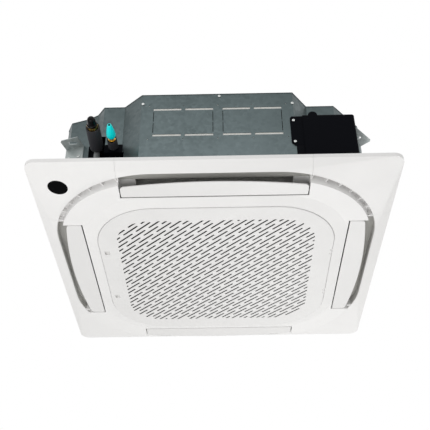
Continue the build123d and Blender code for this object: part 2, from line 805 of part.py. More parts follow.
with BuildPart() as cabinet_shell:
    with BuildSketch(Plane.XY.offset(casing_z)):
        add(casing_plan.sketch)
        add(casing_offset(sheet), mode=Mode.SUBTRACT)
    extrude(amount=casing_height)
    with BuildSketch(Plane.XY.offset(casing_z)):
        add(casing_offset(sheet / 2))
        add(casing_offset(flange_width), mode=Mode.SUBTRACT)
    extrude(amount=sheet)
    with BuildSketch(Plane.XZ.offset(casing_half - 5.0)):
        knockout_slits(knockout_left)
        knockout_slits(knockout_right)
    extrude(amount=10.0, mode=Mode.SUBTRACT)
    # Pipe openings in the recess and the drain hole in the left face
    with BuildSketch(Plane.XZ.offset(casing_half - 120.0)):
        tray_rectangles(0.0)
        with Locations((liquid_x, liquid_z)):
            Circle(liquid_sleeve_radius + sleeve_gap)
    extrude(amount=110.0, mode=Mode.SUBTRACT)
    with BuildSketch(Plane.YZ.offset(-casing_half - 5.0)):
        with Locations((drain_y, drain_z)):
            Circle(drain_radius + sleeve_gap / 2)
    extrude(amount=30.0, mode=Mode.SUBTRACT)
    with Locations(*[(x, y, casing_z + sheet / 2) for x, y in panel_screw_places]):
        Cylinder(screw_radius + 0.3, 10.0, mode=Mode.SUBTRACT)
    with Locations(*casing_screw_spots):
        Cylinder(screw_radius, 3 * sheet, mode=Mode.SUBTRACT)
save(cabinet_shell.part, "cabinet_shell")

with BuildPart() as top_plate:
    with BuildSketch(Plane.XY.offset(casing_top)):
        add(casing_offset(-1.0))
    extrude(amount=sheet)
    with BuildSketch(Plane.XY.offset(casing_top - 14.0)):
        add(casing_offset(sheet + clearance))
        add(casing_offset(2 * sheet + clearance), mode=Mode.SUBTRACT)
    extrude(amount=14.0 + sheet / 2)
    # Pressed beads: a ring round the motor and four spokes towards the corners
    with BuildSketch(Plane.XY.offset(casing_top + sheet - 0.2)):
        Circle(motor_body_radius + 62.0)
        Circle(motor_body_radius + 48.0, mode=Mode.SUBTRACT)
        for turn in (45, 135, 225, 315):
            with Locations(Location((0, 0, 0), (0, 0, turn))):
                with Locations((290.0, 0)):
                    SlotOverall(210.0, 16.0)
        for turn in (0, 90, 180, 270):
            with Locations(Location((0, 0, 0), (0, 0, turn))):
                with Locations((265.0, -85.0), (265.0, 85.0)):
                    SlotOverall(200.0, 12.0)
    extrude(amount=1.4)
    with Locations((0, 0, casing_top)):
        with PolarLocations(motor_stud_pcd / 2, 4, start_angle=45):
            Cylinder(3.2, 20.0, mode=Mode.SUBTRACT)
save(top_plate.part, "top_plate")

# Brackets stand on the slanted faces of the corners, tab outwards
facet_middle = ((set_back_far + facet_x) / 2, (set_back + facet_y) / 2)
facet_angle = degrees(atan2(set_back - facet_y, facet_x - set_back_far))
recess_run = (recess_steps[1], recess_steps[2])
recess_shift = 0.6
recess_middle = tuple(recess_shift * a + (1 - recess_shift) * b for a, b in zip(*recess_run))
recess_angle = degrees(atan2(recess_run[1][1] - recess_run[0][1], recess_run[1][0] - recess_run[0][0]))
# place, direction of the face seen from outside, width of the tab
bracket_places = {
    "front_right": ((facet_middle[0], -facet_middle[1]), facet_angle, bracket_width),
    "back_right": (facet_middle, 180.0 - facet_angle, bracket_width),
    "back_left": ((-facet_middle[0], facet_middle[1]), 180.0 + facet_angle, bracket_width),
    "front_left": (recess_middle, recess_angle, 0.75 * bracket_width),
}
bracket_screw_places = []
for corner, (place, angle, width) in bracket_places.items():
    x_sign, y_sign = CORNERS[corner]
    tilt = radians(angle)
    frame = Plane(origin=(place[0], place[1], hanger_z), x_dir=(cos(tilt), sin(tilt), 0), z_dir=(0, 0, 1))
    depth = bracket_depth if corner != "front_left" else 0.8 * bracket_depth
    screw_rows = ((-0.28 * width, -0.45 * bracket_leg), (0.28 * width, -0.45 * bracket_leg),
                  (0.0, -0.82 * bracket_leg))
    with BuildPart() as bracket:
        with BuildSketch(frame) as tab:
            with Locations((0, -depth / 2)):
                Rectangle(width, depth)
            chamfer(tab.vertices().group_by(Axis((0, 0, 0), (-sin(tilt), cos(tilt), 0)))[0], length=5.0)
        extrude(amount=bracket_sheet)
        leg_plane = Plane(origin=frame.origin, x_dir=frame.x_dir, z_dir=-frame.y_dir)
        with BuildSketch(leg_plane):
            with Locations((0, -bracket_leg / 2 + bracket_sheet)):
                Rectangle(width, bracket_leg)
            with Locations(*screw_rows):
                Circle(screw_radius + 0.3, mode=Mode.SUBTRACT)
        extrude(amount=bracket_sheet)
        # Two gussets pressed into the bend
        for side in (-1, 1):
            rib_x = side * 0.3 * width
            gusset = Plane(origin=frame.from_local_coords((rib_x - 2.0, 0, 0)),
                           x_dir=-frame.y_dir, z_dir=frame.x_dir)
            with BuildSketch(gusset):
                with BuildLine():
                    Polyline((bracket_sheet / 2, bracket_sheet / 2), (11.0, bracket_sheet / 2),
                             (bracket_sheet / 2, -11.0), close=True)
                make_face()
            extrude(amount=4.0)
        with BuildSketch(Plane.XY.offset(hanger_z - 5.0)):
            with Locations((x_sign * hanger_x, y_sign * hanger_y)):
                SlotOverall(hanger_slot_length, hanger_slot_width)
        extrude(amount=15.0, mode=Mode.SUBTRACT)
    save(bracket.part, f"hanger_bracket_{corner}")
    bracket_screw_places += [leg_plane.offset(bracket_sheet) * Location((x, z, 0)) for x, z in screw_rows]


def pan_head_screw(shank_length):
    """One screw at each current location: round head outwards, shank inwards."""
    with Locations(Location((0, 0, screw_head_height / 2 + 0.02))):
        Cylinder(screw_head_radius, screw_head_height)
    with Locations(Location((0, 0, -shank_length / 2 + 0.02))):
        Cylinder(screw_radius - 0.1, shank_length)



with BuildPart() as panel_screws:
    head_top = ceiling_z - roof_thickness - 0.1
    with Locations(*[(x, y, head_top - 2.5) for x, y in panel_screw_places]):
        Cylinder(2.5 * screw_radius, 5.0)
    screw_tip = casing_z + 3.5
    with Locations(*[(x, y, (head_top + screw_tip) / 2) for x, y in panel_screw_places]):
        Cylinder(screw_radius, screw_tip - head_top)
    for x_place, y_place in panel_screw_places:
        box_between((x_place - 3.5, y_place - 0.5, head_top - 6.0),
                    (x_place + 3.5, y_place + 0.5, head_top - 4.0), mode=Mode.SUBTRACT)
save(panel_screws.part, "panel_screws")

with BuildPart() as panel_seal:
    with BuildSketch(Plane.XY.offset(ceiling_z)):
        add(casing_offset(1.0))
        add(casing_offset(1.0 + seal_width), mode=Mode.SUBTRACT)
        with Locations(*panel_screw_places):
            Circle(screw_radius + clearance, mode=Mode.SUBTRACT)
    extrude(amount=seal_thickness)
save(panel_seal.part, "panel_seal")

liner_outer = sheet + clearance
liner_inner = liner_outer + liner_thickness
with BuildPart() as foam_liner:
    with BuildSketch(Plane.XY.offset(casing_z + sheet + clearance)):
        add(casing_offset(liner_outer))
        add(casing_offset(liner_inner), mode=Mode.SUBTRACT)
    extrude(amount=casing_height - sheet - 2 * clearance - 16.0)
    with BuildSketch(Plane.XZ.offset(casing_half - 120.0)):
        tray_rectangles(0.0)
        with Locations((liquid_x, liquid_z)):
            Circle(liquid_sleeve_radius + sleeve_gap)
    extrude(amount=110.0, mode=Mode.SUBTRACT)
    with BuildSketch(Plane.YZ.offset(-casing_half - 5.0)):
        with Locations((drain_y, drain_z)):
            Circle(drain_radius + sleeve_gap)
    extrude(amount=50.0, mode=Mode.SUBTRACT)
    with Locations(*[(x, y, casing_z + 8.0) for x, y in panel_screw_places]):
        Cylinder(screw_radius + 1.0, 24.0, mode=Mode.SUBTRACT)
save(foam_liner.part, "foam_liner")

# --------------------------------------------------------------- coil and drain pan
pan_z = casing_z + 8.0
pan_top = pan_z + pan_height
channel_floor = pan_z + pan_floor
coil_inner_half = coil_outer_half - coil_depth
coil_z = pan_top + 1.0
coil_middle = coil_outer_half - coil_depth / 2
bend_radius = coil_radius - coil_depth / 2
straight_half = coil_middle - bend_radius
with BuildSketch(Plane.XY.offset(coil_z)) as fin_plan:
    # The tubes' line, drawn as a thin wall that ties the fins together
    rounded_square(coil_middle + fin_spine / 2, bend_radius + fin_spine / 2)
    rounded_square(coil_middle - fin_spine / 2, bend_radius - fin_spine / 2, mode=Mode.SUBTRACT)
    straight_count = int(2 * straight_half / fin_pitch) + 1
    for turn in SIDES.values():
        with Locations(Location((0, 0, 0), (0, 0, turn))):
            with Locations(*[((index - (straight_count - 1) / 2) * fin_pitch, -coil_middle)
                             for index in range(straight_count)]):
                Rectangle(fin_thickness, coil_depth)
    bend_steps = int(bend_radius * radians(90) / fin_pitch)
    for corner_turn in (0, 90, 180):
        with Locations(Location((0, 0, 0), (0, 0, corner_turn))):
            with Locations((straight_half, straight_half)):
                with PolarLocations(bend_radius, bend_steps, start_angle=90.0 / bend_steps,
                                    angular_range=90.0 - 90.0 / bend_steps):
                    Rectangle(coil_depth, fin_thickness)
    # The two ends of the coil stop short of the pipe corner
    with Locations((-coil_open - coil_outer_half, -coil_open - coil_outer_half)):
        Rectangle(2 * coil_outer_half, 2 * coil_outer_half, mode=Mode.SUBTRACT)
with BuildPart() as evaporator_fins:
    add(fin_plan.sketch)
    extrude(amount=coil_height)
save(evaporator_fins.part, "evaporator_fins")

plate_thickness = 1.0
with BuildPart() as coil_end_plates:
    # Each end plate reaches up to the casing's top, which carries the coil
    box_between((-coil_open - plate_thickness, -coil_outer_half, coil_z),
                (-coil_open, -coil_inner_half, casing_top))
    box_between((-coil_outer_half, -coil_open - plate_thickness, coil_z),
                (-coil_inner_half, -coil_open, casing_top))
save(coil_end_plates.part, "coil_end_plates")

bend_start = coil_open + plate_thickness
bend_count = int(coil_height / (2 * tube_pitch))
bend_planes = []
for index in range(bend_count):
    bend_z = coil_z + tube_pitch * (2 * index + 1)
    for row_shift in (-coil_depth / 4, coil_depth / 4):
        front_bend = Plane(origin=(-bend_start, -coil_middle + row_shift, bend_z),
                           x_dir=(0, 0, 1), z_dir=(-1, 0, 0))
        side_bend = Plane(origin=(-coil_middle + row_shift, -bend_start, bend_z),
                          x_dir=(0, 0, 1), z_dir=(0, -1, 0))
        bend_planes += [front_bend, side_bend]
with BuildPart() as coil_bends:
    for bend_plane in bend_planes:
        with BuildSketch(bend_plane):
            with Locations((tube_pitch / 2, 0)):
                Circle(tube_radius)
        revolve(axis=Axis(bend_plane.origin, -bend_plane.y_dir), revolution_arc=180)
save(coil_bends.part, "coil_bends")

with BuildPart() as drain_pan:
    with BuildSketch(Plane.XY.offset(pan_z)):
        rounded_square(pan_half, pan_radius)
        Circle(pan_hole_radius, mode=Mode.SUBTRACT)
    extrude(amount=pan_height)
    with BuildSketch(Plane.XY.offset(channel_floor)):
        rounded_square(pan_half - channel_wall, pan_radius - channel_wall)
        rounded_square(coil_inner_half - 12.0, coil_radius - coil_depth, mode=Mode.SUBTRACT)
        with Locations((pump_x, pump_y)):
            Circle(pump_radius + 4.0)
    extrude(amount=pan_height, mode=Mode.SUBTRACT)
    # Notch beside the pipe tray
    box_between((-pan_half, -pan_half, pan_z), (tray_right + 2.0, tray_back + clearance, pan_top),
                mode=Mode.SUBTRACT)
    # Blocks that carry the coil above the water channel
    with BuildSketch(Plane.XY.offset(channel_floor)):
        for turn in (0, 90, 180, 270):
            with Locations(Location((0, 0, 0), (0, 0, turn))):
                with Locations((0, coil_middle), (-110.0, coil_middle), (110.0, coil_middle)):
                    Rectangle(24.0, coil_depth)
    extrude(amount=coil_z - channel_floor)
save(drain_pan.part, "drain_pan")

# --------------------------------------------------------------- bell mouth, motor and fan
bell_z = pan_z - 2.0
with BuildPart() as bell_mouth:
    with BuildSketch(Plane.XZ):
        with BuildLine():
            flare = bell_rise - 2.0
            Line((bell_flange_radius, bell_z), (throat_radius + flare, bell_z))
            RadiusArc((throat_radius + flare, bell_z), (throat_radius, bell_z + flare), flare)
            Line((throat_radius, bell_z + flare), (throat_radius, bell_z + bell_rise))
            Line((throat_radius, bell_z + bell_rise), (throat_radius + 2.0, bell_z + bell_rise))
            Line((throat_radius + 2.0, bell_z + bell_rise), (throat_radius + 2.0, bell_z + flare))
            RadiusArc((throat_radius + 2.0, bell_z + flare), (throat_radius + flare, bell_z + 2.0),
                      -(flare - 2.0))
            Line((throat_radius + flare, bell_z + 2.0), (bell_flange_radius, bell_z + 2.0))
            Line((bell_flange_radius, bell_z + 2.0), (bell_flange_radius, bell_z))
        make_face()
    revolve(axis=Axis.Z)
save(bell_mouth.part, "bell_mouth")

motor_top = casing_top - 10.0
motor_bottom = motor_top - motor_body_height
with BuildPart() as fan_motor:
    with BuildSketch(Plane.XY.offset(motor_bottom)):
        Circle(motor_body_radius)
    extrude(amount=motor_body_height)
    fillet(fan_motor.edges().filter_by(GeomType.CIRCLE), radius=8.0)
    with BuildSketch(Plane.XY.offset(motor_top - 8.0)):
        with PolarLocations(motor_stud_pcd / 2, 4, start_angle=45):
            Circle(11.0)
        for turn in (45, 135, 225, 315):
            with Locations(Location((0, 0, 0), (0, 0, turn))):
                with Locations((motor_body_radius, 0)):
                    Rectangle(40.0, 14.0)
        with PolarLocations(motor_stud_pcd / 2, 4, start_angle=45):
            Circle(5.2, mode=Mode.SUBTRACT)
        Circle(motor_body_radius - 12.0, mode=Mode.SUBTRACT)
    extrude(amount=4.0)
    with BuildSketch(Plane.XY.offset(motor_bottom - 6.0)):
        Circle(18.0)
    extrude(amount=10.0)
    with BuildSketch(Plane.XY.offset(motor_bottom - 10.0)):
        Circle(shaft_radius + pin_clearance)
    extrude(amount=60.0, mode=Mode.SUBTRACT)
save(fan_motor.part, "fan_motor")

ear_z = motor_top - 8.0
with BuildPart() as motor_mounts:
    with PolarLocations(motor_stud_pcd / 2, 4, start_angle=45):
        with Locations((0, 0, (ear_z - 3.0 + casing_top) / 2)):
            Cylinder(9.0, casing_top - ear_z + 3.0)
            Cylinder(3.2, casing_top - ear_z + 3.0, mode=Mode.SUBTRACT)
    # Groove that grips the motor's ear
    with BuildSketch(Plane.XY.offset(ear_z)):
        with PolarLocations(motor_stud_pcd / 2, 4, start_angle=45):
            Circle(10.0)
            Circle(5.0, mode=Mode.SUBTRACT)
    extrude(amount=4.0, mode=Mode.SUBTRACT)
save(motor_mounts.part, "motor_mounts")

nut_z = ear_z - 3.0 - 5.0
stud_bottom = nut_z - 3.0
stud_top = casing_top + sheet + 4.0
with BuildPart() as motor_nuts:
    with BuildSketch(Plane.XY.offset(nut_z)):
        with PolarLocations(motor_stud_pcd / 2, 4, start_angle=45):
            RegularPolygon(6.0, 6)
    extrude(amount=4.9)
    with PolarLocations(motor_stud_pcd / 2, 4, start_angle=45):
        with Locations((0, 0, (stud_bottom + stud_top) / 2)):
            Cylinder(3.0, stud_top - stud_bottom)
save(motor_nuts.part, "motor_nuts")

hub_bottom = 166.0
blade_root, blade_belly, blade_tip = (128.0, 0.0), (176.0, -28.0), (fan_radius - 18.0, -82.0)
with BuildSketch() as blade_plan:
    with BuildLine():
        ThreePointArc(blade_root, blade_belly, blade_tip)
        Line(blade_tip, (blade_tip[0] - 0.6 * blade_thickness, blade_tip[1]))
        ThreePointArc((blade_tip[0] - 0.6 * blade_thickness, blade_tip[1]),
                      (blade_belly[0] - 0.75 * blade_thickness, blade_belly[1] - 0.66 * blade_thickness),
                      (blade_root[0], blade_root[1] - blade_thickness))
        Line((blade_root[0], blade_root[1] - blade_thickness), blade_root)
    make_face()
with BuildPart() as fan_wheel:
    # Dished back plate that wraps the motor, with the hub at its lowest point
    with BuildSketch(Plane.XZ):
        with BuildLine():
            Polyline((shaft_radius + 0.2, hub_bottom), (24.0, hub_bottom),
                     (motor_body_radius + 24.0, fan_top), (fan_radius, fan_top), (fan_radius, fan_top + 3.0),
                     (motor_body_radius + 20.0, fan_top + 3.0), (24.0, hub_bottom + 6.0),
                     (18.0, hub_bottom + 6.0), (18.0, hub_bottom + 26.0),
                     (shaft_radius + 0.2, hub_bottom + 26.0), close=True)
        make_face()
    revolve(axis=Axis.Z)
    # Shroud that turns the air from the bell mouth into the blades
    with BuildSketch(Plane.XZ):
        with BuildLine():
            Polyline((fan_inlet_radius - 2.5, fan_bottom), (fan_inlet_radius, fan_bottom),
                     (fan_inlet_radius + 8.0, fan_bottom + 16.0), (fan_radius, fan_bottom + 24.0),
                     (fan_radius, fan_bottom + 26.5), (fan_inlet_radius + 6.0, fan_bottom + 18.5),
                     close=True)
        make_face()
    revolve(axis=Axis.Z)
    with BuildSketch(Plane.XY.offset(fan_bottom + 12.0)):
        for index in range(blade_count):
            add(blade_plan.sketch.rotate(Axis.Z, index * 360.0 / blade_count))
    extrude(amount=fan_top - fan_bottom - 10.0)
save(fan_wheel.part, "fan_wheel")

with BuildPart() as motor_shaft:
    shaft_bottom = hub_bottom - 16.0
    with Locations((0, 0, (shaft_bottom + motor_bottom + 40.0) / 2)):
        Cylinder(shaft_radius, motor_bottom + 40.0 - shaft_bottom)
save(motor_shaft.part, "motor_shaft")

with BuildPart() as fan_nut:
    with BuildSketch(Plane.XY.offset(hub_bottom - 10.0)):
        RegularPolygon(11.0, 6)
        Circle(shaft_radius + pin_clearance, mode=Mode.SUBTRACT)
    extrude(amount=7.0)
    with BuildSketch(Plane.XY.offset(hub_bottom - 3.0)):
        Circle(15.0)
        Circle(shaft_radius + pin_clearance, mode=Mode.SUBTRACT)
    extrude(amount=2.9)
save(fan_nut.part, "fan_nut")

# --------------------------------------------------------------- drain pump and float
pump_foot_z = channel_floor + 0.1
with BuildPart() as drain_pump:
    with BuildSketch(Plane.XY.offset(pump_foot_z)):
        with Locations((pump_x, pump_y)):
            Circle(10.0)
    extrude(amount=24.0)
    with BuildSketch(Plane.XY.offset(pump_foot_z + 20.0)):
        with Locations((pump_x, pump_y)):
            Circle(pump_radius - 5.0)
    extrude(amount=32.0)
    with BuildSketch(Plane.XY.offset(pump_foot_z + 46.0)):
        with Locations((pump_x, pump_y)):
            Circle(pump_radius)
    extrude(amount=44.0)
    # Outlet stub, level with the hose
    pump_outlet_z = pump_foot_z + 36.0
    with BuildSketch(Plane.YZ.offset(pump_x - pump_radius - 6.0)):
        with Locations((drain_y, pump_outlet_z)):
            Circle(7.0)
    extrude(amount=pump_radius)
save(drain_pump.part, "drain_pump")

hose_start = pump_x - pump_radius - 6.1
hose_end = -casing_half + 24.0
with BuildPart() as drain_hose:
    with BuildLine() as hose_path:
        FilletPolyline((hose_start, drain_y, pump_outlet_z), (-345.0, drain_y, pump_outlet_z),
                       (-372.0, drain_y, drain_z), (hose_end, drain_y, drain_z), radius=20.0)
    with BuildSketch(Plane(origin=hose_path.line @ 0, z_dir=hose_path.line % 0)):
        Circle(8.5)
        Circle(6.0, mode=Mode.SUBTRACT)
    sweep()
save(drain_hose.part, "drain_hose")

with BuildPart() as drain_outlet:
    with BuildSketch(Plane.YZ.offset(-casing_half - 34.0)):
        with Locations((drain_y, drain_z)):
            Circle(drain_radius)
            Circle(drain_bore, mode=Mode.SUBTRACT)
    extrude(amount=34.0 + 20.0)
    with BuildSketch(Plane.YZ.offset(-casing_half + 20.0)):
        with Locations((drain_y, drain_z)):
            Circle(drain_radius)
            Circle(9.0, mode=Mode.SUBTRACT)
    extrude(amount=3.9)
    with BuildSketch(Plane.YZ.offset(-casing_half - 3.0)):
        with Locations((drain_y, drain_z)):
            Circle(drain_radius + 7.0)
            Circle(drain_bore, mode=Mode.SUBTRACT)
    extrude(amount=3.0)
save(drain_outlet.part, "drain_outlet")

with BuildPart() as float_switch:
    stem_bottom = channel_floor + 3.0
    stem_top = stem_bottom + 48.0
    with Locations((float_x, float_y, (stem_bottom + stem_top) / 2)):
        Cylinder(3.0, stem_top - stem_bottom)
    with Locations((float_x, float_y, stem_bottom + 1.0)):
        Cylinder(5.5, 2.0)
    with Locations((float_x, float_y, stem_top)):
        Cylinder(9.0, 18.0)
    # Arm that hangs the switch on the pump
    box_between((float_x - 5.0, float_y + 4.0, stem_top + 1.0),
                (float_x + 5.0, pump_y - pump_radius - 0.2, stem_top + 8.0))
save(float_switch.part, "float_switch")

with BuildPart() as float_ring:
    with BuildSketch(Plane.XY.offset(stem_bottom + 2.05)):
        with Locations((float_x, float_y)):
            Circle(9.5)
            Circle(3.6, mode=Mode.SUBTRACT)
    extrude(amount=16.0)
save(float_ring.part, "float_ring")

# --------------------------------------------------------------- refrigerant pipes
header_x = gas_x
header_y = -258.0

with BuildPart() as suction_header:
    with Locations((header_x, header_y, coil_z + coil_height / 2)):
        Cylinder(11.0, coil_height - 20.0)
    # Stubs that reach the coil's side end between the hairpin bends
    stub_end = -bend_start - 0.1
    for index in range(1, bend_count):
        stub_z = coil_z + tube_pitch * 2 * index
        with BuildSketch(Plane.XZ.offset(-header_y - 5.0)):
            with Locations((header_x + 7.0, stub_z)):
                Circle(tube_radius)
        extrude(amount=header_y + 5.0 - stub_end)
save(suction_header.part, "suction_header")

with BuildPart() as liquid_distributor:
    with BuildSketch(Plane.XY.offset(liquid_z - 20.0)):
        with Locations((liquid_x, header_y - 44.0)):
            Circle(10.0)
    extrude(amount=40.0)
    # Capillary tubes that rise and turn towards the coil's front end
    distributor_y = header_y - 44.0
    for index in range(3):
        spread = (index - 1) * 6.0
        rise = liquid_z + 36.0 + index * 2 * tube_pitch / 2
        with BuildLine() as capillary:
            FilletPolyline((liquid_x, distributor_y + spread, liquid_z + 18.0),
                           (liquid_x, distributor_y + spread, rise),
                           (-bend_start - 0.1, distributor_y + spread, rise), radius=10.0)
        with BuildSketch(Plane(origin=capillary.line @ 0, z_dir=capillary.line % 0)):
            Circle(1.6)
        sweep(path=capillary.line)
save(liquid_distributor.part, "liquid_distributor")


def straight_tube(x_place, z_place, start, end, outer, inner):
    """A tube along Y from its inner end, out to the front."""
    with BuildPart() as tube:
        with BuildSketch(Plane.XZ.offset(-start)):
            with Locations((x_place, z_place)):
                Circle(outer)
                Circle(inner, mode=Mode.SUBTRACT)
        extrude(amount=start - end)
    return tube.part


def flare_nut(x_place, z_place, face, across, bore):
    """A hexagon nut on a pipe's end, with a round threaded nose in front of it."""
    with BuildPart() as nut:
        with BuildSketch(Plane.XZ.offset(-face - 0.8 * across)):
            with Locations((x_place, z_place)):
                RegularPolygon(across / 2, 6, major_radius=False)
                Circle(bore, mode=Mode.SUBTRACT)
        extrude(amount=0.8 * across)
    return nut.part


def end_cap(x_place, z_place, root, tip, radius, nose_radius):
    """A plastic cap: skirt over the nut's end, shoulders that taper to a blunt nose."""
    with BuildPart() as cap:
        with BuildSketch(Plane((x_place, 0, z_place), x_dir=(1, 0, 0), z_dir=(0, 0, 1))):
            with BuildLine():
                Polyline((0, root), (radius, root), (radius, root - 0.35 * (root - tip)))
                ThreePointArc((radius, root - 0.35 * (root - tip)),
                              (0.45 * radius + 0.55 * nose_radius, root - 0.7 * (root - tip)),
                              (nose_radius, tip))
                Polyline((nose_radius, tip), (0, tip), (0, root))
            make_face()
        revolve(axis=Axis((x_place, 0, z_place), (0, 1, 0)))
    return cap.part


save(straight_tube(gas_x, gas_z, header_y - 11.1, gas_sleeve_end + 2.0, gas_pipe_radius,
                   gas_pipe_radius - pipe_wall), "gas_pipe")
save(straight_tube(liquid_x, liquid_z, distributor_y - 10.1, liquid_sleeve_end + 2.0,
                   liquid_pipe_radius, liquid_pipe_radius - pipe_wall), "liquid_pipe")


def insulation(x_place, z_place, start, end, outer, bore, mouth_bore, mouth_depth):
    """A foam sleeve with a wider mouth that takes the flare nut."""
    with BuildPart() as sleeve:
        with BuildSketch(Plane.XZ.offset(-start)):
            with Locations((x_place, z_place)):
                Circle(outer)
                Circle(bore, mode=Mode.SUBTRACT)
        extrude(amount=start - end)
        with BuildSketch(Plane.XZ.offset(-end - mouth_depth)):
            with Locations((x_place, z_place)):
                Circle(mouth_bore)
        extrude(amount=mouth_depth, mode=Mode.SUBTRACT)
    return sleeve.part


nut_depth = 12.0
nut_fit = 0.1
with BuildPart() as pipe_insulation:
    add(insulation(gas_x, gas_z, gas_sleeve_start, gas_sleeve_end, gas_sleeve_radius,
                   gas_pipe_radius + nut_fit, gas_nut_across / sqrt(3) + clearance, nut_depth))
    add(insulation(liquid_x, liquid_z, liquid_sleeve_start, liquid_sleeve_end, liquid_sleeve_radius,
                   liquid_pipe_radius + nut_fit, liquid_nut_across / sqrt(3) + clearance, nut_depth))
save(pipe_insulation.part, "pipe_insulation")
gas_nut_face = gas_sleeve_end + nut_depth - 0.1 - 0.8 * gas_nut_across
liquid_nut_face = liquid_sleeve_end + nut_depth - 0.1 - 0.8 * liquid_nut_across
with BuildPart() as flare_nuts:
    add(flare_nut(gas_x, gas_z, gas_nut_face, gas_nut_across, gas_pipe_radius + 0.05))
    add(flare_nut(liquid_x, liquid_z, liquid_nut_face, liquid_nut_across, liquid_pipe_radius + 0.05))
save(flare_nuts.part, "flare_nuts")
save(end_cap(gas_x, gas_z, gas_nut_face - 0.05, gas_cap_tip, gas_nut_across / 2 + 1.7,
             0.35 * gas_nut_across), "gas_cap")
with BuildPart() as liquid_cap:
    skirt_radius = liquid_nut_across / sqrt(3) + 1.8
    add(end_cap(liquid_x, liquid_z, liquid_sleeve_end - 0.1, liquid_cap_tip, skirt_radius,
                0.3 * skirt_radius))
    # Hollow over the nut, and the small hole in the nose
    with BuildSketch(Plane.XZ.offset(-liquid_sleeve_end)):
        with Locations((liquid_x, liquid_z)):
            Circle(liquid_nut_across / sqrt(3) + 0.2)
    extrude(amount=liquid_sleeve_end - liquid_nut_face + 0.5, mode=Mode.SUBTRACT)
    with BuildSketch(Plane.XZ.offset(-liquid_cap_tip)):
        with Locations((liquid_x, liquid_z)):
            Circle(2.2)
    extrude(amount=-12.0, mode=Mode.SUBTRACT)
save(liquid_cap.part, "liquid_cap")

with BuildPart() as pipe_tray:
    with BuildSketch(Plane.XZ.offset(-tray_back)):
        tray_rectangles(clearance)
    extrude(amount=150.0)
    with BuildSketch(Plane.XZ.offset(-tray_back + tray_wall)):
        tray_rectangles(clearance + tray_wall)
    extrude(amount=150.0, mode=Mode.SUBTRACT)
    with BuildSketch(Plane.XZ.offset(-tray_back - 5.0)):
        with Locations((gas_x, gas_z)):
            Circle(gas_pipe_radius + nut_fit)
    extrude(amount=10.0, mode=Mode.SUBTRACT)
    with BuildSketch(Plane.XY.offset(casing_z)):
        add(casing_plan.sketch)
    extrude(amount=casing_height, mode=Mode.INTERSECT)
save(pipe_tray.part, "pipe_tray")

# --------------------------------------------------------------- electrical boxes
box_back = set_back + 2.0
box_screws = [(212.0, 214.0), (212.0, 140.0)]
with BuildSketch(Plane.XY.offset(box_bottom)) as box_plan:
    with BuildLine():
        Polyline((box_left - 4.0, -box_front), (box_right, -box_front), (box_right, -box_front + 38.0),
                 (box_right - 22.0, -box_back), (set_back_near + 7.0, -box_back), close=True)
    make_face()
    fillet(box_plan.vertices().group_by(Axis.X)[-1], radius=4.0)

with BuildPart() as wiring_box_cover:
    add(box_plan.sketch)
    extrude(amount=box_top - box_bottom)
    top_front = wiring_box_cover.faces().sort_by(Axis.Z)[-1].edges().sort_by(Axis.X)[-1:]
    fillet(top_front, radius=9.0)
    with Locations(Location((box_left + 24.0, -(box_front + box_back) / 2, box_top - 4.0), (90, 0, 0))):
        Cylinder(12.0, box_front - box_back)
    with BuildSketch(Plane.XY.offset(box_bottom - 1.0)):
        offset(box_plan.sketch, amount=-box_wall, kind=Kind.INTERSECTION)
    extrude(amount=box_top - box_bottom + 1.0 - box_wall, mode=Mode.SUBTRACT)
    # Open at the back, and trimmed to the casing's slanted corner
    box_between((set_back_near + 9.0, -box_back - 3.0, box_bottom - 1.0),
                (box_right - 24.0, -box_back + 1.0, box_top - box_wall), mode=Mode.SUBTRACT)
    with BuildSketch(Plane.XY.offset(box_bottom)):
        add(casing_offset(-0.2))
    extrude(amount=casing_height, mode=Mode.SUBTRACT)
    # Screw flange that lies on the casing's front face
    with BuildSketch(Plane.XZ.offset(casing_half)) as ear:
        with BuildLine():
            Polyline((203.0, 138.0), (212.0, 128.0), (box_left + 2.0, 128.0), (box_left + 2.0, 229.0),
                     (207.0, 229.0), (203.0, 224.0), close=True)
        make_face()
        with Locations(*box_screws):
            Circle(screw_radius + 0.2, mode=Mode.SUBTRACT)
    extrude(amount=box_wall)
    with BuildSketch(Plane.XZ.offset(casing_half)):
        with Locations((box_left + 1.0, (128.0 + 229.0) / 2)):
            Rectangle(6.0, 101.0)
    extrude(amount=box_front - casing_half)
save(wiring_box_cover.part, "wiring_box_cover")

# Every self-tapping screw of the casing: top plate, brackets and box flange
with BuildPart() as casing_screws:
    with Locations(*casing_screw_spots):
        pan_head_screw(sheet)
    with Locations(*bracket_screw_places):
        pan_head_screw(bracket_sheet - 0.1)
    with Locations(*[face_plane.offset(box_wall) * Location((x, z, 0)) for x, z in box_screws]):
        pan_head_screw(box_wall - 0.1)
save(casing_screws.part, "casing_screws")

with BuildPart() as wiring_base:
    box_between((set_back_near + 12.0, -set_back - 1.5, box_bottom + 3.0),
                (set_back_far - 3.0, -set_back, box_top - 8.0))
save(wiring_base.part, "wiring_base")

with BuildPart() as terminal_block:
    block_back = -set_back - 1.5
    block_z = 140.0
    box_between((set_back_near + 16.0, block_back - 16.0, block_z), (set_back_far - 7.0, block_back,
                                                                    block_z + 24.0))
    pole_count = 5
    pole_pitch = (set_back_far - set_back_near - 23.0) / pole_count
    for index in range(pole_count):
        pole_x = set_back_near + 16.0 + (index + 0.5) * pole_pitch
        box_between((pole_x - 3.8, block_back - 18.0, block_z + 5.0),
                    (pole_x + 3.8, block_back - 11.0, block_z + 19.0), mode=Mode.SUBTRACT)
        with Locations(Location((pole_x, block_back - 10.0, block_z + 12.0), (90, 0, 0))):
            Cylinder(2.8, 4.0)
save(terminal_block.part, "terminal_block")

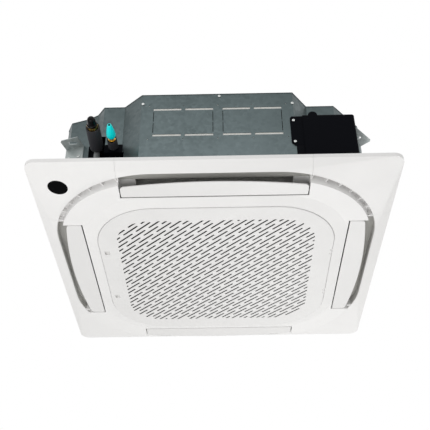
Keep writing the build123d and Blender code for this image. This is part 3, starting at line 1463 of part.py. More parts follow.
control_y = -(seam_half + bell_flange_radius) / 2 - 4.0
control_z = pan_z - control_height - 0.2
with BuildPart() as control_box:
    box_between((-control_length / 2, control_y - control_width / 2, control_z),
                (control_length / 2, control_y + control_width / 2, pan_z - 0.2))
    box_between((-control_length / 2 + sheet, control_y - control_width / 2 + sheet, control_z - 1.0),
                (control_length / 2 - sheet, control_y + control_width / 2 - sheet, pan_z - 0.2 - sheet),
                mode=Mode.SUBTRACT)
save(control_box.part, "control_box")

with BuildPart() as control_box_lid:
    box_between((-control_length / 2 - 1.0, control_y - control_width / 2 - 1.0, control_z - 1.3),
                (control_length / 2 + 1.0, control_y + control_width / 2 + 1.0, control_z - 0.1))
save(control_box_lid.part, "control_box_lid")

with BuildPart() as control_board:
    board_z = pan_z - 10.0
    box_between((-control_length / 2 + 8.0, control_y - control_width / 2 + 6.0, board_z - 1.6),
                (control_length / 2 - 8.0, control_y + control_width / 2 - 6.0, board_z))
    with Locations(*[(x, control_y + y, (board_z + pan_z - 0.25 - sheet) / 2) for x in (-110.0, 110.0)
                     for y in (-18.0, 18.0)]):
        Cylinder(3.0, pan_z - 0.25 - sheet - board_z)
    with Locations((-80.0, control_y, board_z - 9.0), (60.0, control_y + 4.0, board_z - 7.0)):
        Box(34.0, 26.0, 16.0)
    with Locations((-20.0, control_y, board_z - 9.0), (0.0, control_y + 6.0, board_z - 7.0)):
        Cylinder(8.0, 14.0)
save(control_board.part, "control_board")
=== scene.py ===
"""Looks of the ceiling cassette air conditioner: a white moulded panel with a slotted
intake grille and four vanes, below a galvanised casing with its pipes and brackets.

Metres, +Z up, pipe side towards -Y, origin at the centre of the grille's lower face.
"""
from math import asin, cos, pi, radians, sin, sqrt

import bpy
from mathutils import Matrix, Quaternion, Vector


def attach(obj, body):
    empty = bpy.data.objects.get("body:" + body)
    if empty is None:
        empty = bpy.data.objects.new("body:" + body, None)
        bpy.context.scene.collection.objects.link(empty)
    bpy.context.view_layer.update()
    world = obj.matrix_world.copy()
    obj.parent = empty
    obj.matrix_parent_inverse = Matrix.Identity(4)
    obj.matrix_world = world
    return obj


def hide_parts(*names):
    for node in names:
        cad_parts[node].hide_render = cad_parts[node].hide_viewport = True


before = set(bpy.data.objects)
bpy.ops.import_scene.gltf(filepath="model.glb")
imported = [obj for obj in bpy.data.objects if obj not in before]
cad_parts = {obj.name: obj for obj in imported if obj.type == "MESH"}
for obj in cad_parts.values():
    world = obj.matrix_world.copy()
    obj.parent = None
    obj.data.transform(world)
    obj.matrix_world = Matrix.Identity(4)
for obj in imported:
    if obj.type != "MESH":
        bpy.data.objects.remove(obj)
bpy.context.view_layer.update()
bpy.ops.object.select_all(action="DESELECT")

# ------------------------------------------------------------------ panel frame
# The panel that shows below the ceiling is injection-moulded ABS, about 3 mm thick,
# left in its own warm white with a fine spark-eroded grain and a satin skin.


def linear(code):
    """An sRGB colour such as 'e9e7e7' as linear red, green, blue and alpha."""
    parts = [int(code[place:place + 2], 16) / 255 for place in (0, 2, 4)]
    return [c / 12.92 if c <= 0.04045 else ((c + 0.055) / 1.055) ** 2.4 for c in parts] + [1.0]


def add_node(material, kind, settings=(), links=()):
    """One shader node. Its settings are (socket or property, value), and its links are
    (input, node, output). A Mix node's two colours are its inputs 6 and 7, and the mixed
    colour is its output 2."""
    node = material.node_tree.nodes.new(kind)
    for name, value in settings:
        if isinstance(name, str) and hasattr(node, name):
            setattr(node, name, value)
        else:
            node.inputs[name].default_value = value
    for target, source, output in links:
        material.node_tree.links.new(source.outputs[output], node.inputs[target])
    return node


def new_finish(name):
    """A material with its surface shader and the object's own coordinates."""
    material = bpy.data.materials.new(name)
    material.use_nodes = True
    tree = material.node_tree
    tree.nodes.clear()
    surface = add_node(material, "ShaderNodeBsdfPrincipled")
    add_node(material, "ShaderNodeOutputMaterial", links=[("Surface", surface, "BSDF")])
    place = add_node(material, "ShaderNodeTexCoord")
    return material, surface, place


def dress(finish, *node_names):
    """Gives CAD nodes their finish."""
    for node_name in node_names:
        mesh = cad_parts[node_name].data
        mesh.materials.clear()
        mesh.materials.append(finish)


def moulded(name, colour, shade, roughness, grain_mm=1.2, grain_depth=0.06, ior=1.5,
            specular=0.5):
    """Injection-moulded plastic: nearly even colour, slow drift in gloss, fine grain."""
    material, surface, place = new_finish(name)
    # Tone and gloss drift over about 110 mm, as the melt cooled in its mould
    drift = add_node(material, "ShaderNodeTexNoise",
                     [("Scale", 9.0), ("Detail", 3.0), ("Roughness", 0.5)],
                     [("Vector", place, "Object")])
    tint = add_node(material, "ShaderNodeMix", [("data_type", "RGBA"), (6, linear(colour)),
                                                (7, linear(shade))], [(0, drift, "Fac")])
    gloss = add_node(material, "ShaderNodeMapRange",
                     [("To Min", roughness - 0.05), ("To Max", roughness + 0.07)],
                     [("Value", drift, "Fac")])
    # Spark-eroded grain, drawn coarser than its real 0.1 mm so that it shows close up
    grain = add_node(material, "ShaderNodeTexNoise",
                     [("Scale", 1000.0 / grain_mm), ("Detail", 2.0)], [("Vector", place, "Object")])
    relief = add_node(material, "ShaderNodeBump",
                      [("Strength", grain_depth), ("Distance", 0.0004)], [("Height", grain, "Fac")])
    links = material.node_tree.links
    links.new(tint.outputs[2], surface.inputs["Base Color"])
    links.new(gloss.outputs["Result"], surface.inputs["Roughness"])
    links.new(relief.outputs["Normal"], surface.inputs["Normal"])
    surface.inputs["IOR"].default_value = ior
    surface.inputs["Specular IOR Level"].default_value = specular
    return material


panel_abs = moulded("satin_white_ABS", "f5f4f3", "eeedec", 0.42)
dress(panel_abs, "panel_frame", "corner_cover_front_left", "corner_cover_front_right",
      "corner_cover_back_right", "corner_cover_back_left")

# ------------------------------------------------------------------ outlet linings
# A grey strip of felt, 1.5 mm thick, lies round the outer wall of each outlet, and a second one
# lies under the duct's roof: painted shade that darkens the duct.

duct_shade, surface, place = new_finish("needled_grey_duct_shade")
# Tufts of fibre 0.7 mm across: the real fibres of 0.03 mm are too fine to show
fibres = add_node(duct_shade, "ShaderNodeTexNoise",
                  [("Scale", 1400.0), ("Detail", 4.0), ("Roughness", 0.7), ("Distortion", 1.5)],
                  [("Vector", place, "Object")])
duct_shade_tint = add_node(duct_shade, "ShaderNodeMix",
                     [("data_type", "RGBA"), (6, linear("b6b5b0")), (7, linear("cecdc8"))],
                     [(0, fibres, "Fac")])
duct_shade_relief = add_node(duct_shade, "ShaderNodeBump", [("Strength", 0.6), ("Distance", 0.0008)],
                       [("Height", fibres, "Fac")])
duct_shade.node_tree.links.new(duct_shade_tint.outputs[2], surface.inputs["Base Color"])
duct_shade.node_tree.links.new(duct_shade_relief.outputs["Normal"], surface.inputs["Normal"])
surface.inputs["Roughness"].default_value = 0.9
surface.inputs["Sheen Weight"].default_value = 0.2


# A face or edge counts as lying along an axis from this share on, and two places count
# as one within this many metres
ALONG, NEAR = 0.9, 0.0001


def choose(piece, kind, test):
    """Edit mode with only those faces, edges or points selected that pass the test. It is
    given a face's middle and normal, an edge's middle and direction, or a point's place
    and normal."""
    if piece.mode == "EDIT":
        bpy.ops.object.mode_set(mode="OBJECT")
    mesh = piece.data
    bpy.context.tool_settings.mesh_select_mode = [kind == name for name in ("VERT", "EDGE", "FACE")]
    for parts in (mesh.vertices, mesh.edges, mesh.polygons):
        parts.foreach_set("select", [False] * len(parts))
    if kind == "FACE":
        for face in mesh.polygons:
            face.select = test(face.center, face.normal)
    elif kind == "EDGE":
        for edge in mesh.edges:
            first, second = (mesh.vertices[index].co for index in edge.vertices)
            edge.select = test((first + second) / 2, (second - first).normalized())
    else:
        for point in mesh.vertices:
            point.select = test(point.co, point.normal)
    bpy.ops.object.mode_set(mode="EDIT")


def settle(piece, name, finish, body="unit", smooth=35.0):
    """Ends the work on a piece: its place goes into its mesh, and it takes finish and body."""
    if piece.mode == "EDIT":
        bpy.ops.object.mode_set(mode="OBJECT")
    bpy.ops.object.select_all(action="DESELECT")
    piece.select_set(True)
    bpy.context.view_layer.objects.active = piece
    bpy.ops.object.transform_apply(location=True, rotation=True, scale=True)
    bpy.ops.object.shade_smooth_by_angle(angle=radians(smooth))
    piece.name = name
    piece.data.name = name
    piece.data.materials.clear()
    piece.data.materials.append(finish)
    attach(piece, body)


def copy_turned(piece, angle, name, finish):
    """A copy with its own mesh, turned about the unit's upright axis."""
    twin = piece.copy()
    twin.data = piece.data.copy()
    bpy.context.collection.objects.link(twin)
    twin.rotation_euler.z = angle
    settle(twin, name, finish)


def block(low, high):
    """A block between two corners, ready to be shaped."""
    bpy.ops.object.select_all(action="DESELECT")
    bpy.ops.mesh.primitive_cube_add(size=1.0, location=[(a + b) / 2 for a, b in zip(low, high)],
                                    scale=[b - a for a, b in zip(low, high)])
    bpy.ops.object.transform_apply(location=True, rotation=True, scale=True)
    return bpy.context.object


# Half the width of the ring of outlets, the radius of its corners and half an outlet's length
ring_half, ring_radius, slot_half = 0.440, 0.283, 0.243
duct_shade_thick, duct_shade_low, duct_shade_high, glue_gap = 0.0015, 0.0272, 0.0486, 0.0002
# The outer wall is straight this far to each side, and bows inwards beyond
bow = ring_half - ring_radius
duct_shade_back = -ring_half + glue_gap
wall_duct_shade = block((-bow, duct_shade_back, duct_shade_low), (bow, duct_shade_back + duct_shade_thick, duct_shade_high))
for end in (-1, 1):
    choose(wall_duct_shade, "FACE", lambda middle, normal: normal.x * end > ALONG)
    bpy.ops.mesh.spin(steps=6, angle=-end * asin((slot_half - bow) / ring_radius),
                      center=(end * bow, -bow, 0.0), axis=(0.0, 0.0, 1.0))
bpy.ops.mesh.select_all(action="SELECT")
bpy.ops.mesh.remove_doubles(threshold=NEAR / 2)
bpy.ops.mesh.normals_make_consistent(inside=False)
settle(wall_duct_shade, "outlet_duct_shade_front", duct_shade)
# The strip under the roof has a rounded lip that turns into the throat, and its outer
# edge follows the bow of the wall
throat_lip, roof_thick, wall_gap, end_gap = 0.394, 0.0016, 0.0018, 0.0005
duct_shade_radius, bow_steps = ring_radius - wall_gap, 5
roof_duct_shade = block((-bow, -bow - duct_shade_radius, duct_shade_high - roof_thick),
                  (bow, -throat_lip, duct_shade_high))
stretch = (slot_half - end_gap - bow) / bow_steps
# The strip's outer points lie beyond its middle line, and only they follow the bow
strip_middle = -(throat_lip + bow + duct_shade_radius) / 2
for end in (-1, 1):
    for step in range(bow_steps):
        choose(roof_duct_shade, "FACE", lambda middle, normal: normal.x * end > ALONG)
        bpy.ops.mesh.extrude_region_move(
            TRANSFORM_OT_translate={"value": (end * stretch, 0.0, 0.0)})
        sag = (sqrt(duct_shade_radius ** 2 - (step * stretch) ** 2)
               - sqrt(duct_shade_radius ** 2 - ((step + 1) * stretch) ** 2))
        choose(roof_duct_shade, "VERT", lambda point, normal: point.y < strip_middle
               and point.x * end > bow + (step + 0.5) * stretch)
        bpy.ops.transform.translate(value=(0.0, sag, 0.0))
choose(roof_duct_shade, "EDGE", lambda middle, way: abs(way.x) > ALONG
       and middle.y > -throat_lip - NEAR and middle.z < duct_shade_high - NEAR)
bpy.ops.mesh.bevel(offset=0.0012, segments=3)
settle(roof_duct_shade, "roof_duct_shade_front", duct_shade)
# A black sheet of foam on the duct's inner wall is painted shade: it closes the view past the
# vane's inner edge
shade_black, surface, place = new_finish("black_painted_shade")
# Open cells 1.1 mm across
shade_black_cells = add_node(shade_black, "ShaderNodeTexVoronoi", [("Scale", 900.0)],
                      [("Vector", place, "Object")])
shade_black_tint = add_node(shade_black, "ShaderNodeMix",
                           [("data_type", "RGBA"), (6, linear("0c0d0e")), (7, linear("1b1c1d"))],
                           [(0, shade_black_cells, "Distance")])
shade_black.node_tree.links.new(shade_black_tint.outputs[2], surface.inputs["Base Color"])
surface.inputs["Roughness"].default_value = 0.9
surface.inputs["Specular IOR Level"].default_value = 0.2
shade_sheet_face, shade_sheet_back, shade_sheet_low = -0.3597, -0.3586, 0.0135
inner_shade = block((-slot_half + end_gap, shade_sheet_face, shade_sheet_low),
                   (slot_half - end_gap, shade_sheet_back, duct_shade_high))
choose(inner_shade, "EDGE", lambda middle, way: abs(way.x) > ALONG
       and middle.y < shade_sheet_face + NEAR and middle.z < shade_sheet_low + NEAR)
bpy.ops.mesh.bevel(offset=0.0008, segments=2)
settle(inner_shade, "inner_shade_front", shade_black)
for side, turn in (("right", pi / 2), ("back", pi), ("left", -pi / 2)):
    copy_turned(wall_duct_shade, turn, f"outlet_duct_shade_{side}", duct_shade)
    copy_turned(roof_duct_shade, turn, f"roof_duct_shade_{side}", duct_shade)
    copy_turned(inner_shade, turn, f"inner_shade_{side}", shade_black)

# ------------------------------------------------------------------ louvers
# Each vane is one long ABS moulding with a smoother skin than the panel. It turns on
# two pins in acetal bushes, driven by a small stepper motor in a pressed steel can.

vane_abs = moulded("smooth_white_ABS", "ebeae9", "e6e5e4", 0.34, grain_depth=0.03)
dress(vane_abs, "louver_front", "louver_right", "louver_back", "louver_left")
acetal = moulded("natural_acetal", "e2e1da", "d8d7cf", 0.3, grain_depth=0.02, ior=1.48)
dress(acetal, "louver_bushes", "float_ring")

# ------------------------------------------------------------------ intake grille
# The grille is a 3 mm ABS plate, moulded with rows of slanted slots, one row shifted
# against the next. It hangs on two pins and locks with two sliding catches.

grille_abs = moulded("grille_white_ABS", "eeedec", "e5e4e3", 0.4)
surface = grille_abs.node_tree.nodes["Principled BSDF"]
place = grille_abs.node_tree.nodes["Texture Coordinate"]
# Painted shade on the slots' walls: darker between the two faces of the plate, from just above its
# lower face to just below its back
shade_from, shade_full, shade_end = 0.0001, 0.0006, 0.0028
spot = add_node(grille_abs, "ShaderNodeSeparateXYZ", links=[(0, place, "Object")])
aside = [add_node(grille_abs, "ShaderNodeMath", [("operation", "ABSOLUTE")], [(0, spot, axis)])
         for axis in ("X", "Y")]
far_out = add_node(grille_abs, "ShaderNodeMath", [("operation", "MAXIMUM")],
                   [(0, aside[0], 0), (1, aside[1], 0)])
# The field of slots is a square with its corners cut: the plate's own edge stays white
field_reach, field_diagonal = 0.285, 0.53
slant = add_node(grille_abs, "ShaderNodeMath", [("operation", "ADD")],
                 [(0, aside[0], 0), (1, aside[1], 0)])
slant_out = add_node(grille_abs, "ShaderNodeMath",
                     [("operation", "MULTIPLY"), (1, field_reach / field_diagonal)],
                     [(0, slant, 0)])
farthest = add_node(grille_abs, "ShaderNodeMath", [("operation", "MAXIMUM")],
                    [(0, far_out, 0), (1, slant_out, 0)])
within = add_node(grille_abs, "ShaderNodeMath", [("operation", "LESS_THAN"), (1, field_reach)],
                  [(0, farthest, 0)])
above_face = add_node(grille_abs, "ShaderNodeMapRange",
                      [("From Min", shade_from), ("From Max", shade_full)],
                      [("Value", spot, "Z")])
below_back = add_node(grille_abs, "ShaderNodeMath", [("operation", "LESS_THAN"), (1, shade_end)],
                      [(0, spot, "Z")])
slot_wall = add_node(grille_abs, "ShaderNodeMath", [("operation", "MULTIPLY")],
                     [(0, within, 0), (1, below_back, 0)])
painted_slot_shade = add_node(grille_abs, "ShaderNodeMath", [("operation", "MULTIPLY")],
                [(0, slot_wall, 0), (1, above_face, 0)])
# Darkest near the corner with the receiver, lightest towards the opposite corner, as in
# the photograph. The shade is painted in, so it doesn't follow the lamps.
darkest_place, lightest_place = -0.5, 0.35
across = add_node(grille_abs, "ShaderNodeMath", [("operation", "ADD")],
                  [(0, spot, "X"), (1, spot, "Y")])
lit_side = add_node(grille_abs, "ShaderNodeMapRange",
                    [("From Min", darkest_place), ("From Max", lightest_place)],
                    [("Value", across, 0)])
wall_tint = add_node(grille_abs, "ShaderNodeMix",
                     [("data_type", "RGBA"), (6, linear("000000")), (7, linear("858586"))],
                     [(0, lit_side, 0)])
shaded = add_node(grille_abs, "ShaderNodeMix", [("data_type", "RGBA")],
                  [(0, painted_slot_shade, 0), (7, wall_tint, 2)])
plain_tint = surface.inputs["Base Color"].links[0].from_socket
grille_abs.node_tree.links.new(plain_tint, shaded.inputs[6])
grille_abs.node_tree.links.new(shaded.outputs[2], surface.inputs["Base Color"])
dress(grille_abs, "intake_grille")
catch_abs = moulded("catch_white_ABS", "dddcda", "d6d5d3", 0.35, grain_depth=0.02)
dress(catch_abs, "grille_latch_front", "grille_latch_back")

# ------------------------------------------------------------------ air filter
# A polypropylene frame holds a woven net of nylon thread. Seen through the slots it
# reads as nearly black, with a faint grid of threads.

filter_frame_pp = moulded("dark_polypropylene", "1d1f22", "141618", 0.55, grain_depth=0.08)
dress(filter_frame_pp, "air_filter")
filter_nylon, surface, place = new_finish("woven_nylon_net")
# One thread every 5.3 mm: the real net's 0.8 mm is too fine to show. At a scale of 1 the
# wave texture runs through 20 radians per metre.
thread_pitch, wave_radians = 0.0053125, 20.0
threads = [add_node(filter_nylon, "ShaderNodeTexWave",
                    [("bands_direction", direction),
                     ("Scale", 2 * pi / wave_radians / thread_pitch)],
                    [("Vector", place, "Object")]) for direction in ("X", "Y")]
crossed = add_node(filter_nylon, "ShaderNodeMath", [("operation", "MAXIMUM")],
                   [(0, threads[0], "Fac"), (1, threads[1], "Fac")])
net_tint = add_node(filter_nylon, "ShaderNodeMix",
                    [("data_type", "RGBA"), (6, linear("020203")), (7, linear("0d0e0f"))],
                    [(0, crossed, 0)])
net_relief = add_node(filter_nylon, "ShaderNodeBump", [("Strength", 0.5), ("Distance", 0.0005)],
                      [("Height", crossed, 0)])
filter_nylon.node_tree.links.new(net_tint.outputs[2], surface.inputs["Base Color"])
filter_nylon.node_tree.links.new(net_relief.outputs["Normal"], surface.inputs["Normal"])
surface.inputs["Roughness"].default_value = 0.7
dress(filter_nylon, "filter_net")

# ------------------------------------------------------------------ receiver
# The remote control's receiver sits behind a round window of black acrylic that only
# lets infrared through, so it looks like polished black glass.

acrylic = moulded("black_acrylic", "040506", "060708", 0.12, grain_depth=0.0, ior=1.49,
                  specular=0.03)
dress(acrylic, "receiver_window")
circuit, surface, place = new_finish("solder_masked_board")
# Fields of copper 3 mm long under the green mask, with paler gaps
tracks = add_node(circuit, "ShaderNodeTexBrick",
                  [("Scale", 160.0), ("Mortar Size", 0.02), ("Color1", linear("1c5a38")),
                   ("Color2", linear("17502f")), ("Mortar", linear("4c8a52"))],
                  [("Vector", place, "Object")])
circuit.node_tree.links.new(tracks.outputs["Color"], surface.inputs["Base Color"])
surface.inputs["Roughness"].default_value = 0.35
dress(circuit, "receiver_board", "control_board")

# ------------------------------------------------------------------ casing
# Hot-dip galvanised sheet, 1.2 mm, bent round the unit and closed with a beaded top.
# Zinc crystals leave a faint spangle, and slow stains keep it from mirroring.


def galvanised(name, dark, light, roughness, spangle=0.25):
    """Zinc-coated sheet: spangle 9 mm across, stains over 140 mm, and painted shade that darkens it
    towards the top, from 60 mm above the grille's face to the unit's top."""
    material, surface, place = new_finish(name)
    spread = add_node(material, "ShaderNodeTexVoronoi", [("Scale", 110.0)],
                      [("Vector", place, "Object")])
    stain = add_node(material, "ShaderNodeTexNoise", [("Scale", 7.0), ("Detail", 4.0)],
                     [("Vector", place, "Object")])
    parts = add_node(material, "ShaderNodeSeparateColor", links=[("Color", spread, "Color")])
    spot = add_node(material, "ShaderNodeSeparateXYZ", links=[(0, place, "Object")])
    # Painted shade: the sheet grows darker towards the top
    height = add_node(material, "ShaderNodeMapRange",
                      [("From Min", 0.06), ("From Max", 0.32), ("To Min", 0.35), ("To Max", -0.45)],
                      [("Value", spot, "Z")])
    mottle = add_node(material, "ShaderNodeMath", [("operation", "MULTIPLY_ADD"), (1, spangle)],
                      [(0, parts, "Red"), (2, stain, "Fac")])
    blend = add_node(material, "ShaderNodeMath", [("operation", "ADD"), ("use_clamp", True)],
                     [(0, mottle, 0), (1, height, 0)])
    tint = add_node(material, "ShaderNodeMix",
                    [("data_type", "RGBA"), (6, linear(dark)), (7, linear(light))],
                    [(0, blend, 0)])
    gloss = add_node(material, "ShaderNodeMapRange",
                     [("To Min", roughness - 0.06), ("To Max", roughness + 0.1)],
                     [("Value", parts, "Green")])
    relief = add_node(material, "ShaderNodeBump", [("Strength", 0.04), ("Distance", 0.001)],
                      [("Height", stain, "Fac")])
    links = material.node_tree.links
    links.new(tint.outputs[2], surface.inputs["Base Color"])
    links.new(gloss.outputs["Result"], surface.inputs["Roughness"])
    links.new(relief.outputs["Normal"], surface.inputs["Normal"])
    surface.inputs["Metallic"].default_value = 0.85
    return material


casing_zinc = galvanised("galvanised_casing_sheet", "525d5e", "6b7779", 0.42, 0.15)
dress(casing_zinc, "cabinet_shell", "top_plate")


def joined(pieces):
    """Several pieces made one, the first."""
    bpy.ops.object.select_all(action="DESELECT")
    for piece in pieces:
        piece.select_set(True)
    bpy.context.view_layer.objects.active = pieces[0]
    bpy.ops.object.join()
    return pieces[0]


# Black strips in the thin upright slits of the two knock-outs are painted shade, the dark behind
# the slits. Each slit has a bridge of sheet at half its height, which is left free.
slit_shade_low, bridge_low, bridge_high, slit_shade_high = 0.1815, 0.216, 0.216 + 0.0050, 0.2555
slit_shade_half, slit_shade_face, slit_shade_back = 0.0008, -0.4196, -0.4189
slit_shades = []
for slit_x in (-0.1611, -0.0019, 0.0249, 0.1821):
    for low, high in ((slit_shade_low, bridge_low), (bridge_high, slit_shade_high)):
        slit_shade = block((slit_x - slit_shade_half, slit_shade_face, low), (slit_x + slit_shade_half, slit_shade_back, high))
        choose(slit_shade, "EDGE", lambda middle, way: middle.y < slit_shade_face + NEAR)
        bpy.ops.mesh.bevel(offset=0.0002, segments=1)
        bpy.ops.object.mode_set(mode="OBJECT")
        slit_shades.append(slit_shade)
settle(joined(slit_shades), "knockout_slit_shades", shade_black)
bracket_zinc = galvanised("galvanised_bracket_sheet", "9aa1a1", "b6bcbb", 0.38)
dress(bracket_zinc, "hanger_bracket_front_left", "hanger_bracket_front_right",
      "hanger_bracket_back_right", "hanger_bracket_back_left", "coil_end_plates",
      "wiring_base", "control_box", "control_box_lid", "louver_motors")

# ------------------------------------------------------------------ screws and pins
# Self-tapping screws of carbon steel, plated with bright zinc. Pins, nuts and shaft are
# ground steel, which looks the same.

bright_zinc, surface, place = new_finish("bright_zinc_plate")
# Worn spots 2.5 mm across
wear = add_node(bright_zinc, "ShaderNodeTexNoise", [("Scale", 400.0), ("Detail", 2.0)],
                [("Vector", place, "Object")])
plate_tint = add_node(bright_zinc, "ShaderNodeMix",
                      [("data_type", "RGBA"), (6, linear("c9cccb")), (7, linear("e6e8e6"))],
                      [(0, wear, "Fac")])
bright_zinc.node_tree.links.new(plate_tint.outputs[2], surface.inputs["Base Color"])
surface.inputs["Metallic"].default_value = 1.0
surface.inputs["Roughness"].default_value = 0.25
dress(bright_zinc, "panel_screws", "motor_nuts", "fan_nut", "motor_shaft", "grille_hinge_pins")

# One pan head with a cross recess, shaped once and set at each of the casing's 26 screws
head_radius, head_height, rim_round, head_sides = 0.004, 0.0024, 0.0009, 16
# The cross: its reach, how far an arm's points may lie off an axis, its waist as a share
# of its reach, its depth, and its floor as a share of its mouth
recess_radius, arm_half, recess_waist, recess_depth, recess_floor = 0.0024, 0.001, 0.3, 0.0012, 0.75
bpy.ops.object.select_all(action="DESELECT")
bpy.ops.mesh.primitive_cylinder_add(vertices=head_sides, radius=head_radius, depth=head_height,
                                    location=(0.0, 0.0, head_height / 2),
                                    rotation=(0.0, 0.0, pi / head_sides))
screw_head = bpy.context.object
bpy.ops.object.transform_apply(location=True, rotation=True, scale=True)
choose(screw_head, "EDGE", lambda middle, way: middle.z > head_height - NEAR)
bpy.ops.mesh.bevel(offset=rim_round, segments=2)
choose(screw_head, "FACE", lambda middle, normal: normal.z > 0.99)
bpy.ops.mesh.inset(thickness=head_radius - rim_round - recess_radius)
# Every other pair of points stays out as the end of an arm, the pairs between are drawn in
choose(screw_head, "VERT", lambda point, normal: point.z > head_height - NEAR
       and point.xy.length < recess_radius + NEAR and min(abs(point.x), abs(point.y)) > arm_half)
bpy.ops.transform.resize(value=(recess_waist, recess_waist, 1.0),
                         center_override=(0.0, 0.0, head_height))
choose(screw_head, "FACE", lambda middle, normal: normal.z > 0.99 and middle.xy.length < 2 * NEAR)
bpy.ops.mesh.extrude_region_move(TRANSFORM_OT_translate={"value": (0.0, 0.0, -recess_depth)})
bpy.ops.transform.resize(value=(recess_floor, recess_floor, 1.0),
                         center_override=(0.0, 0.0, head_height - recess_depth))
bpy.ops.object.mode_set(mode="OBJECT")


def on_face(along, height, out, turn):
    """A place on an upright face that looks along -Y before it is turned about Z."""
    return (Matrix.Rotation(turn, 4, "Z") @ Matrix.Translation((along, -out, height))
            @ Matrix.Rotation(pi / 2, 4, "X"))


# The casing is screwed near its top at three places on each side, the wiring box at two
casing_out, box_flange_out, top_row, box_screw_x = 0.420, 0.422, 0.310, 0.212
screw_places = [on_face(x, z, casing_out, 0.0)
                for x, z in ((-0.1911, 0.285), (0.016, top_row), (0.213, 0.279))]
screw_places += [on_face(x, top_row, casing_out, turn)
                 for turn in (pi / 2, pi, -pi / 2) for x in (-0.150, 0.0, 0.150)]
screw_places += [on_face(box_screw_x, z, box_flange_out, 0.0) for z in (0.214, 0.140)]
# Each hanger bracket has two screws beside each other below its tab and one below them:
# where it stands, the way that it looks in degrees, and its width
brackets = ((0.3715, -0.321, 48.16, 0.072), (0.3715, 0.321, 131.84, 0.072),
            (-0.3715, 0.321, 228.16, 0.072), (-0.3862, -0.318, -17.70, 0.054))
tab_z, bracket_sheet, near_drop, far_drop, screw_spread = 0.221, 0.002, 0.0351, 0.06396, 0.28
for foot_x, foot_y, angle, width in brackets:
    foot = Matrix.Translation((foot_x, foot_y, tab_z)) @ Matrix.Rotation(radians(angle), 4, "Z")
    for along, drop in ((-screw_spread * width, near_drop), (screw_spread * width, near_drop),
                        (0.0, far_drop)):
        screw_places.append(foot @ on_face(along, -drop, bracket_sheet, 0.0))
heads, recess_turn = [], 0.7
for place_index, screw_place in enumerate(screw_places):
    head = screw_head.copy()
    head.data = screw_head.data.copy()
    bpy.context.collection.objects.link(head)
    # No two recesses stand at the same angle
    head.matrix_world = screw_place @ Matrix.Rotation(place_index * recess_turn, 4, "Z")
    heads.append(head)
settle(joined(heads), "casing_screw_heads", bright_zinc)
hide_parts("casing_screws")
bpy.data.objects.remove(screw_head)

# ------------------------------------------------------------------ foam parts
# The liner and the drain pan are expanded polystyrene, moulded from beads that press
# flat against each other. The panel seal and pipe sleeves are black rubber foam.

beads, surface, place = new_finish("expanded_polystyrene")
# Beads 4 mm across
cells = add_node(beads, "ShaderNodeTexVoronoi", [("Scale", 260.0)], [("Vector", place, "Object")])
bead_tint = add_node(beads, "ShaderNodeMix",
                     [("data_type", "RGBA"), (6, linear("f1f0ec")), (7, linear("dcdbd6"))],
                     [(0, cells, "Distance")])
bead_relief = add_node(beads, "ShaderNodeBump",
                       [("Strength", 0.35), ("Distance", 0.0015), ("invert", True)],
                       [("Height", cells, "Distance")])
beads.node_tree.links.new(bead_tint.outputs[2], surface.inputs["Base Color"])
beads.node_tree.links.new(bead_relief.outputs["Normal"], surface.inputs["Normal"])
surface.inputs["Roughness"].default_value = 0.8
dress(beads, "foam_liner", "drain_pan")

rubber_foam, surface, place = new_finish("closed_cell_rubber_foam")
# Closed cells 1.1 mm across, drawn coarser than their real 0.3 mm so that they show
pores = add_node(rubber_foam, "ShaderNodeTexNoise",
                 [("Scale", 900.0), ("Detail", 4.0), ("Roughness", 0.7)],
                 [("Vector", place, "Object")])
foam_tint = add_node(rubber_foam, "ShaderNodeMix",
                     [("data_type", "RGBA"), (6, linear("222226")), (7, linear("3a3a40"))],
                     [(0, pores, "Fac")])
foam_relief = add_node(rubber_foam, "ShaderNodeBump", [("Strength", 0.5), ("Distance", 0.001)],
                       [("Height", pores, "Fac")])
rubber_foam.node_tree.links.new(foam_tint.outputs[2], surface.inputs["Base Color"])
rubber_foam.node_tree.links.new(foam_relief.outputs["Normal"], surface.inputs["Normal"])
surface.inputs["Roughness"].default_value = 0.85
dress(rubber_foam, "panel_seal", "pipe_insulation", "motor_mounts")

# ------------------------------------------------------------------ coil and pipes
# The coil is aluminium fin stock on copper tube. Copper dulls to brown in patches,
# and the flare nuts are turned brass.


def drawn_metal(name, bright, dull, roughness, patch_mm=25.0):
    """Bare drawn or turned metal with dulled patches."""
    material, surface, place = new_finish(name)
    patches = add_node(material, "ShaderNodeTexNoise",
                       [("Scale", 1000.0 / patch_mm), ("Detail", 4.0)],
                       [("Vector", place, "Object")])
    tint = add_node(material, "ShaderNodeMix",
                    [("data_type", "RGBA"), (6, linear(bright)), (7, linear(dull))],
                    [(0, patches, "Fac")])
    gloss = add_node(material, "ShaderNodeMapRange",
                     [("To Min", roughness - 0.08), ("To Max", roughness + 0.15)],
                     [("Value", patches, "Fac")])
    links = material.node_tree.links
    links.new(tint.outputs[2], surface.inputs["Base Color"])
    links.new(gloss.outputs["Result"], surface.inputs["Roughness"])
    surface.inputs["Metallic"].default_value = 1.0
    return material


fin_stock = drawn_metal("aluminium_fin_stock", "d7dadb", "b8bec1", 0.35)
dress(fin_stock, "evaporator_fins")
copper = drawn_metal("drawn_copper", "c98462", "9a5b3f", 0.3)
dress(copper, "coil_bends", "suction_header", "liquid_distributor", "gas_pipe", "liquid_pipe")
brass = drawn_metal("turned_brass", "ecc976", "c9a355", 0.24, 8.0)
dress(brass, "flare_nuts")

# ------------------------------------------------------------------ transit caps
# Polyethylene caps keep dirt out of the flared pipes until they are joined.

cap_black_pe = moulded("black_polyethylene", "060608", "0b0b0e", 0.16, grain_depth=0.02,
                       ior=1.52, specular=0.15)
cap_cyan_pe = moulded("cyan_polyethylene", "02ffff", "00fafd", 0.3, grain_depth=0.03, ior=1.52)


